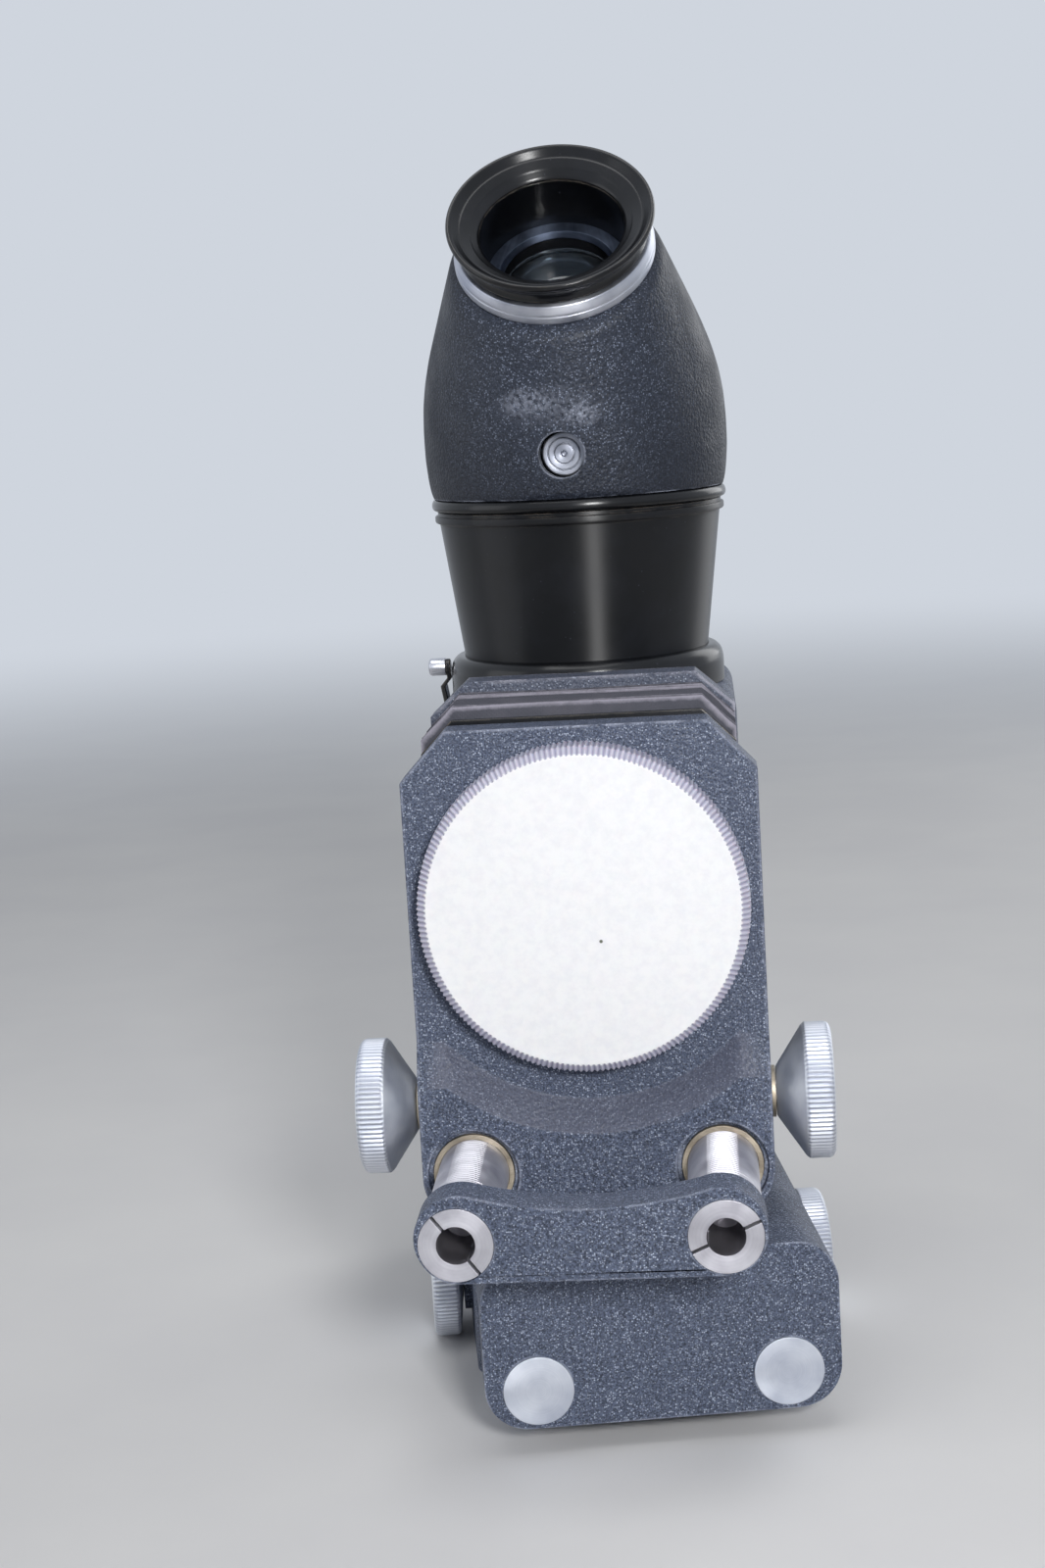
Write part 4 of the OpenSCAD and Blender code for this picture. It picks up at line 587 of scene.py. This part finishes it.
shaftHeight, shaftAt = 58.734, -59.3
railTurn = turnedBy(railAngle, "Z")
for side, turn in (("left", -90), ("right", 90)):
    across = turnedBy(turn, "Y")
    addKnob(side + "FocusKnob", "drive", "focus_knob_" + side, 12.6, 43.9, 33.45,
            moved(0, shaftAt, shaftHeight) @ across)
    addKnob(side + "ClampKnob", "clamp_" + side, "clamp_knob_" + side, 12.0, 40.5, 34.15,
            railTurn @ moved(0, -21, railHeight) @ across)
print("knobs made")

# viewing tube

tubeSettings = {"bottom": 129.0, "height": 36.9, "foot": 24.9, "wall": 1.8, "footHeight": 7.6, "top": 28.4,
                "band": 29.3, "bandFrom": 34.5, "bandTo": 36.1, "neck": 28.7, "seat": 26.6, "seatDepth": 6.0,
                "seatLip": 1.6, "ring": 27.9, "bevelHeight": 3.0}
tubeEnamel = glossEnamel("tubeEnamel", glossSettings, 0.4, 0.95, 0.3)
t = tubeSettings
addPiece("viewingTube", "bed", tubeEnamel, *turned([
    (t["foot"] - t["wall"], 0),
    (t["foot"], 0),
    (t["foot"], t["footHeight"], 0.2),
    (t["top"], t["bandFrom"], 0.2),
    (t["band"], t["bandFrom"] + 0.3, 0.4),
    (t["band"], t["bandTo"], 0.45),
    (t["neck"], t["bandTo"] + 0.1, 0.1),
    (t["neck"], t["height"], 0.1),
    (t["seat"], t["height"], 0.2),
    (t["seat"], t["height"] - t["seatDepth"], 0.1),
    (t["seat"] - t["seatLip"], t["height"] - t["seatDepth"], 0.1),
    (t["foot"] - t["wall"], t["footHeight"], 0.3)], 192),
    moved(0, 0, t["bottom"]), ["viewing_tube"])
addPiece("tubeFoot", "bed", "black_gloss_enamel", *turned([
    (t["foot"] + 0.02, 0),
    (t["ring"], 0, 0.15),
    (t["ring"], t["footHeight"] - t["bevelHeight"], 0.5),
    (t["ring"] - 0.35, t["footHeight"] - 1.2, 1.2),
    (t["ring"] - 1.5, t["footHeight"] - 0.15, 0.9),
    (t["foot"] + 0.5, t["footHeight"], 0.4),
    (t["foot"] + 0.02, t["footHeight"], 0.1)], 192),
    moved(0, 0, t["bottom"]), ["tube_foot_ring"])
print("viewing tube made")

# mirror lever's button

buttonSettings = {"radius": 1.8, "length": 3.5, "rivet": 1.0, "at": (-29.2, 0, 134.0)}
s = buttonSettings
addPiece("leverButton", "mirror", "satin_chrome", *turned([
    (0, -1.0),
    (s["rivet"], -1.0, 0.1),
    (s["rivet"], 0),
    (s["radius"], 0, 0.1),
    (s["radius"], s["length"] - 0.4, 0.3),
    (s["radius"] - 0.5, s["length"], 0.3),
    (0, s["length"])], 48), moved(*s["at"]) @ turnedBy(-90, "Y"), ["lever_button"])
print("lever button made")

# prism head

headSettings = {"turn": -2.5, "bottom": 166.05, "rim": 2.55, "rimRadius": 29.8, "bend": 192.55, "tilt": 45,
                "neckAt": 31.5, "neck": 18.8, "bore": 15.55,
                "sections": [(162, 0, 28.4), (168.6, 0, 29.3), (172, 0, 30.1), (176.5, 0, 30.5),  # height, fore, radius
                             (182, 0.2, 30.5), (187, 0.6, 30.2), (191.5, 1.2, 29.5), (196.5, 2.6, 28.2),
                             (201, 4.5, 26.6), (205.5, 7, 24.8)],
                "wall": 3.2, "spigotBore": 26.53, "screwHeight": 11.0, "screwBore": 4.4, "screwSeat": -25.6,
                "screwHead": 4.35, "screwThick": 0.6, "around": 216, "along": 108, "smooth": 14}
h = headSettings
headTurn = turnedBy(h["turn"], "Z")
eyeAxis = headTurn @ moved(0, 0, h["bend"]) @ turnedBy(h["tilt"], "X")
rubbedPatches = [((-5.6, -30, 187.5), (6.6, 9, 3.4), 0.5), ((4.4, -30, 184.6), (4.0, 9, 2.9), 0.7),
                 ((-1.0, -30, 186.6), (12.0, 9, 5.5), 0.28)]  # centre, reach, depth
# the head's lit front keeps the painted glints; its sides and back get painted shade
headEnamel = hammerEnamel("headEnamel", smoothEnamelSettings, rubbedPatches, ((0, -34, 193), (23, 26, 19)))


def headSurface():
    # tree of the taut skin over the level sections and the tilted neck, in the head's own frame
    work = bmesh.new()
    tilt = moved(0, 0, h["bend"]) @ turnedBy(h["tilt"], "X")
    for z, fore, r in h["sections"]:
        for i in range(144):
            a = 2 * math.pi * i / 144
            work.verts.new((r * math.cos(a), -fore + r * math.sin(a), z))
    for s in (h["neckAt"] - 3, h["neckAt"] + 4):
        for i in range(144):
            a = 2 * math.pi * i / 144
            work.verts.new(tilt @ Vector((h["neck"] * math.cos(a), h["neck"] * math.sin(a), s)))
    bmesh.ops.convex_hull(work, input=work.verts)
    skin = BVHTree.FromBMesh(work)
    work.free()
    return skin


def castHead():
    # rings fanned from the level foot to the tilted neck about a far hinge, each reaching out to the taut skin
    skin = headSurface()
    tilt = math.radians(h["tilt"])
    foot = h["bottom"] + h["rim"]
    neckY, neckZ = -h["neckAt"] * math.sin(tilt), h["bend"] + h["neckAt"] * math.cos(tilt)
    hingeY = neckY - (neckZ - foot) / math.tan(tilt)
    footAway, neckAway = -hingeY, math.hypot(neckY - hingeY, neckZ - foot)
    along, around = h["along"], h["around"]
    frames, reach = [], []
    for j in range(along + 1):
        a = tilt * j / along
        away = footAway + (neckAway - footAway) * j / along
        outward = Vector((0, math.cos(a), math.sin(a)))
        middle = Vector((0, hingeY, foot)) + outward * away
        frames.append((middle, outward))
        row = []
        for i in range(around):
            turn = 2 * math.pi * i / around
            ray = Vector((1, 0, 0)) * math.cos(turn) + outward * math.sin(turn)
            row.append(skin.ray_cast(middle, ray)[3])
        reach.append(row)
    reach[0], reach[-1] = [h["rimRadius"] - 0.5] * around, [h["neck"]] * around
    for _ in range(h["smooth"]):
        last = [row[:] for row in reach]
        for j in range(1, along):
            for i in range(around):
                beside = last[j][i - 1] + last[j][(i + 1) % around]
                ends = last[j - 1][i] + last[j + 1][i]
                reach[j][i] = last[j][i] * 0.5 + (beside + ends) * 0.125
    verts, faces = [], []

    def addRing(j, radii):
        middle, outward = frames[j]
        for i, r in enumerate(radii):
            turn = 2 * math.pi * i / around
            spot = middle + (Vector((1, 0, 0)) * math.cos(turn) + outward * math.sin(turn)) * r
            verts.append(spot)

    for j in range(along + 1):
        addRing(j, reach[j])
    addRing(along, [h["bore"]] * around)
    inner = [j for j in range(along - 6, 8, -4)]
    for j in inner:
        room = min(1.0, (along - 6 - j) / 18)
        addRing(j, [h["bore"] + (r - h["wall"] - h["bore"]) * room for r in reach[j]])
    addRing(0, [h["spigotBore"]] * around)
    rings = len(verts) // around
    for ring in range(rings):
        one, two = ring * around, (ring + 1) % rings * around
        for i in range(around):
            n = (i + 1) % around
            faces.append((one + i, one + n, two + n, two + i))
    piece = addPiece("prismHead", "head", headEnamel, verts, faces, None, headTurn, ["head_housing"], 40)
    return piece


def boreHole(piece, verts, faces, marks, place):
    cutter = addPiece("cutter", None, headEnamel, verts, faces, marks, place)
    cut = piece.modifiers.new("cut", "BOOLEAN")
    cut.operation, cut.solver, cut.object = "DIFFERENCE", "EXACT", cutter
    bpy.context.view_layer.update()
    whole = bpy.data.meshes.new_from_object(piece.evaluated_get(bpy.context.evaluated_depsgraph_get()))
    piece.modifiers.clear()
    piece.data = whole
    bpy.data.objects.remove(cutter)
    whole.shade_smooth()
    whole.set_sharp_from_angle(angle=math.radians(40))


screwPlace = headTurn @ moved(0, h["screwSeat"], h["bottom"] + h["screwHeight"]) @ turnedBy(90, "X")
head = castHead()
boreHole(head, *turned([(0, 0), (h["screwBore"], 0), (h["screwBore"], 9), (0, 9)], 96), screwPlace)
addPiece("clampScrew", "head", turnedMetal("turnedScrew", "#7d818d", "#b3b6c0", 0.38, 0.45, cut=0.9), *turned([
    (0, -3.5),
    (1.5, -3.5, 0.1),
    (1.5, 0),
    (h["screwHead"], 0, 0.1),
    (h["screwHead"], h["screwThick"] - 0.25, 0.15),
    (h["screwHead"] - 0.3, h["screwThick"], 0.1),
    (3.3, h["screwThick"], 0.05),
    (3.15, h["screwThick"] - 0.15, 0.05),
    (3.0, h["screwThick"], 0.05),
    (2.1, h["screwThick"] - 0.02, 0.05),
    (1.95, h["screwThick"] - 0.15, 0.05),
    (1.8, h["screwThick"], 0.05),
    (0.6, h["screwThick"] - 0.02, 0.05),
    (0.35, h["screwThick"] - 0.4, 0.05),
    (0, h["screwThick"] - 0.4)], 72), screwPlace, ["head_screw"])
addPiece("headRim", "head", "black_gloss_enamel", *turned([
    (h["spigotBore"], 0),
    (h["rimRadius"] - 0.9, 0, 0.1),
    (h["rimRadius"] - 0.1, 0.35, 0.5),
    (h["rimRadius"] + 0.05, h["rim"] * 0.5, 1.2),
    (h["rimRadius"] - 0.25, h["rim"] - 0.45, 0.6),
    (h["rimRadius"] - 0.9, h["rim"] - 0.02, 0.2),
    (h["spigotBore"], h["rim"] - 0.02)], 192), headTurn @ moved(0, 0, h["bottom"]), ["head_housing"])
print("head cast")

# eyepiece

eyepieceSettings = {"collar": 19.3, "collarDepth": 4.0, "cupBack": 36.2, "cellFront": 37.4,
                    "cellBack": 16.0, "cellBore": 13.9, "cell": 15.5, "lensSeat": 25.6, "lens": 11.0}
e = eyepieceSettings
# a darker copy of the turned aluminium: painted darkness standing in for the dark surroundings the collar reflects
collarMetalDarkened = turnedMetal("collarAluminiumDarkened", "#a9adba", "#d3d5dc", 0.38, 0.4, stretch=0.6)
addPiece("eyepieceCollar", "head", collarMetalDarkened, *turned([
    (h["bore"], 0, 0.1),
    (e["collar"] - 0.3, 0, 0.15),
    (e["collar"], 0.4, 0.15),
    (e["collar"], e["collarDepth"] - 2.2, 0.1),
    (e["collar"] - 0.12, e["collarDepth"] - 2.1, 0.05),
    (e["collar"] - 0.12, e["collarDepth"] - 1.5, 0.2),
    (e["collar"] - 0.7, e["collarDepth"], 0.2),
    (h["bore"], e["collarDepth"], 0.1)], 160), eyeAxis @ moved(0, 0, h["neckAt"]), ["eyepiece_collar"])
addPiece("eyecup", "eyecup", "black_gloss_enamel", *turned([
    (e["cell"] + 0.05, 0, 0.1),
    (18.3, 0, 0.3),
    (18.0, 1.4, 0.6),
    (18.4, 2.8, 1.0),
    (19.7, 4.1, 0.8),
    (19.9, 4.7, 0.3),
    (19.55, 5.4, 0.3),
    (18.9, 5.2, 0.3),
    (17.6, 4.0, 0.3),
    (17.2, 3.9, 0.1),
    (15.6, 3.0, 0.1),
    (15.3, 2.75, 0.1),
    (14.2, 2.0, 0.4),
    (13.9, 1.6, 0.2),
    (13.9, 1.3, 0.05),
    (e["cell"] + 0.05, 1.3, 0.05)], 192), eyeAxis @ moved(0, 0, e["cupBack"]), ["eyecup"])
cellDepth, seatDepth = e["cellFront"] - e["cellBack"], e["lensSeat"] - e["cellBack"]
addPiece("lensCell", "eyepiece_cell", "black_gloss_enamel", *turned([
    (e["lens"] + 0.02, 0, 0.1),
    (e["cell"], 0, 0.2),
    (e["cell"], cellDepth, 0.1),
    (e["cellBore"], cellDepth, 0.15),
    (e["cellBore"], seatDepth, 0.05),
    (e["lens"] + 0.02, seatDepth, 0.05)], 160), eyeAxis @ moved(0, 0, e["cellBack"]), ["lens_cell"])
print("eyepiece made")

# bellows

bellowsSettings = {"front": -55.8, "back": -34.0, "folds": 8, "halfWidth": 29.25, "up": 36.0, "down": 28.3,
                   "depth": 4.5, "corner": 6.0, "parts": 10, "fold": 0.3, "thickness": 0.5, "sag": 0.3, "waver": 0.3,
                   "rubbed": [0.98, 0.86, 0.66, 0.6, 0.78, 0.95, 0.92, 0.82]}
b = bellowsSettings


def bellowsRing(y, inset, waver):
    w, u, d, c = b["halfWidth"] - inset, b["up"] - inset, b["down"] - inset, b["corner"]
    corners = [(w, u - c), (w - c, u), (c - w, u), (-w, u - c), (-w, c - d), (c - w, -d), (w - c, -d), (w, c - d)]
    ring = []
    for i, (x, z) in enumerate(corners):
        nextX, nextZ = corners[(i + 1) % 8]
        for part in range(b["parts"]):
            share = part / b["parts"]
            slip = 1 - waver[i * b["parts"] + part] / 32
            ring.append(((x + (nextX - x) * share) * slip, y, axisHeight + (z + (nextZ - z) * share) * slip))
    return ring


def makeBellows():
    chance = random.Random(7)
    count = 8 * b["parts"]
    verts, faces, crests = [], [], []
    pitch = (b["back"] - b["front"]) / (2 * b["folds"])
    rings = []
    for i in range(2 * b["folds"] + 1):
        y, inset, crest = b["front"] + i * pitch, b["depth"] if i % 2 == 0 else 0, i % 2
        wear = b["rubbed"][i // 2] if crest else 0.0
        phases = [(chance.uniform(0, 6.3), chance.randint(2, 9)) for _ in range(3)]
        waver = [b["waver"] * crest * (0.5 + sum(math.sin(p + n * 6.283 * q / count) for p, n in phases) / 6)
                 for q in range(count)]
        still = [0.0] * count
        edge = b["fold"] / 2
        if i in (0, 2 * b["folds"]):
            rings.append((y, inset, wear, still))
        else:
            rings += [(y - edge, inset + 0.12 * crest, wear, waver), (y, inset, wear, waver),
                      (y + edge, inset + 0.12 * crest, wear, waver)]
        if i < 2 * b["folds"]:
            other = 0 if i % 2 == 0 else b["depth"]
            rings.append((y + pitch / 2, (inset + other) / 2 + b["sag"], 0.42, [w * 0.5 for w in waver]))
    skins = []
    for layer in (0, b["thickness"]):
        skin = []
        for y, inset, crest, waver in rings:
            points = bellowsRing(y, inset + layer, waver)
            skin.append(list(range(len(verts), len(verts) + len(points))))
            verts += points
            crests += [float(crest)] * len(points)
        skins.append(skin)
    for skin in skins:
        for one, two in zip(skin, skin[1:]):
            faces += [(one[i], one[(i + 1) % count], two[(i + 1) % count], two[i]) for i in range(count)]
    for end in (0, -1):
        one, two = skins[0][end], skins[1][end]
        faces += [(one[i], one[(i + 1) % count], two[(i + 1) % count], two[i]) for i in range(count)]
    piece = addPiece("bellowsSkin", None, "bellows_cloth", verts, faces, {"crest": crests}, sharp=55)
    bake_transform(piece)
    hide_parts("bellows")


makeBellows()
print("bellows made")

# floor, light and camera

stageSettings = {"floor": "#e6e5e4", "shade": "#e1e0e0", "far": "#cfd5de", "size": 4.0, "fadeFrom": 0.45, "fadeTo": 1.5,
                 "sky": "#dfe5ee", "skyLevel": 0.25}


def paleFloor(s):
    # matt laminate, faintly clouded, that runs out into the pale background
    material, tree, shader, place = newMaterial("paleFloor", {"Roughness": 0.62})
    cloud = addNode(tree, "ShaderNodeTexNoise", {"Scale": 14, "Detail": 4}, {"Vector": place})
    tint = addNode(tree, "ShaderNodeValToRGB", {"stops": [(0.35, s["shade"]), (0.65, s["floor"])]},
                   {"Fac": cloud.outputs["Fac"]})
    tree.links.new(tint.outputs["Color"], shader.inputs["Base Color"])
    away = addNode(tree, "ShaderNodeVectorMath", {"operation": "LENGTH"}, {0: place})
    fade = addNode(tree, "ShaderNodeMapRange", {"interpolation_type": "SMOOTHSTEP", "From Min": s["fadeFrom"],
                                                "From Max": s["fadeTo"]}, {"Value": away.outputs["Value"]})
    share = addNode(tree, "ShaderNodeMath", {"operation": "MULTIPLY"},
                    {0: fade.outputs["Result"], 1: seenDirectly(tree)})
    glow = addNode(tree, "ShaderNodeEmission", {"Color": s["far"], "Strength": 1.0})
    blend = addNode(tree, "ShaderNodeMixShader", {}, {0: share.outputs[0], 1: shader.outputs[0], 2: glow.outputs[0]})
    tree.links.new(blend.outputs[0], tree.nodes["Material Output"].inputs["Surface"])
    return material


half = stageSettings["size"] / 2
floorMesh = bpy.data.meshes.new("floor")
floorMesh.from_pydata([(-half, -half, 0), (half, -half, 0), (half, half, 0), (-half, half, 0)], [], [(0, 1, 2, 3)])
floorMesh.materials.append(paleFloor(stageSettings))
floor = bpy.data.objects.new("floor", floorMesh)
bpy.context.scene.collection.objects.link(floor)

world = bpy.data.worlds.new("studio")
bpy.context.scene.world = world
world.use_nodes = True
air = world.node_tree
air.nodes["Background"].inputs["Color"].default_value = linearColour(stageSettings["sky"])
air.nodes["Background"].inputs["Strength"].default_value = stageSettings["skyLevel"]
seenSky = addNode(air, "ShaderNodeBackground", {"Color": stageSettings["far"], "Strength": 1.0})
airMix = addNode(air, "ShaderNodeMixShader", {}, {0: seenDirectly(air), 1: air.nodes["Background"].outputs[0],
                                                  2: seenSky.outputs[0]})
air.links.new(airMix.outputs[0], air.nodes["World Output"].inputs["Surface"])

lampSettings = {"keyLamp": {"at": (140, -620, 310), "aim": (0, -30, 110), "size": (0.10, 0.10), "power": 0.5,
                            "spread": 75},
                "topLamp": {"at": (-60, -180, 900), "aim": (0, 0, 100), "size": (0.5, 0.5), "power": 2.0},
                "leftLamp": {"at": (-620, -200, 260), "aim": (0, 0, 110), "size": (0.4, 0.5), "power": 0.5},
                "backLamp": {"at": (520, 560, 380), "aim": (0, 0, 110), "size": (0.4, 0.5), "power": 1.2}}
for name, s in lampSettings.items():
    lamp = bpy.data.lights.new(name, "AREA")
    lamp.shape = "RECTANGLE"
    lamp.size, lamp.size_y = s["size"]
    lamp.energy = s["power"]
    lamp.spread = math.radians(s.get("spread", 180))
    holder = bpy.data.objects.new(name, lamp)
    bpy.context.scene.collection.objects.link(holder)
    holder.location = Vector(s["at"]) * 0.001
    holder.rotation_mode = "QUATERNION"
    holder.rotation_quaternion = (Vector(s["aim"]) - Vector(s["at"])).to_track_quat("-Z", "Y")

cameraSettings = {"place": (23.31, -506.34, 194.04), "down": 9.54, "yaw": -4.31, "roll": -3.38, "lens": 56.97}
down, yaw, roll = (math.radians(cameraSettings[k]) for k in ("down", "yaw", "roll"))
forward = Vector((math.sin(yaw) * math.cos(down), math.cos(yaw) * math.cos(down), -math.sin(down)))
right = Vector((math.cos(yaw), -math.sin(yaw), 0))
up = right.cross(forward)
rightRolled = right * math.cos(roll) + up * math.sin(roll)
upRolled = up * math.cos(roll) - right * math.sin(roll)
cameraData = bpy.data.cameras.new("camera")
cameraData.lens = cameraSettings["lens"]
cameraData.sensor_width = 36
cameraData.clip_start = 0.01
camera = bpy.data.objects.new("camera", cameraData)
bpy.context.scene.collection.objects.link(camera)
camera.matrix_world = Matrix((
    (rightRolled.x, upRolled.x, -forward.x, cameraSettings["place"][0] * 0.001),
    (rightRolled.y, upRolled.y, -forward.y, cameraSettings["place"][1] * 0.001),
    (rightRolled.z, upRolled.z, -forward.z, cameraSettings["place"][2] * 0.001),
    (0, 0, 0, 1)))
bpy.context.scene.camera = camera
bpy.context.scene.view_settings.view_transform = "Standard"

bpy.context.view_layer.update()
print("scene ready")
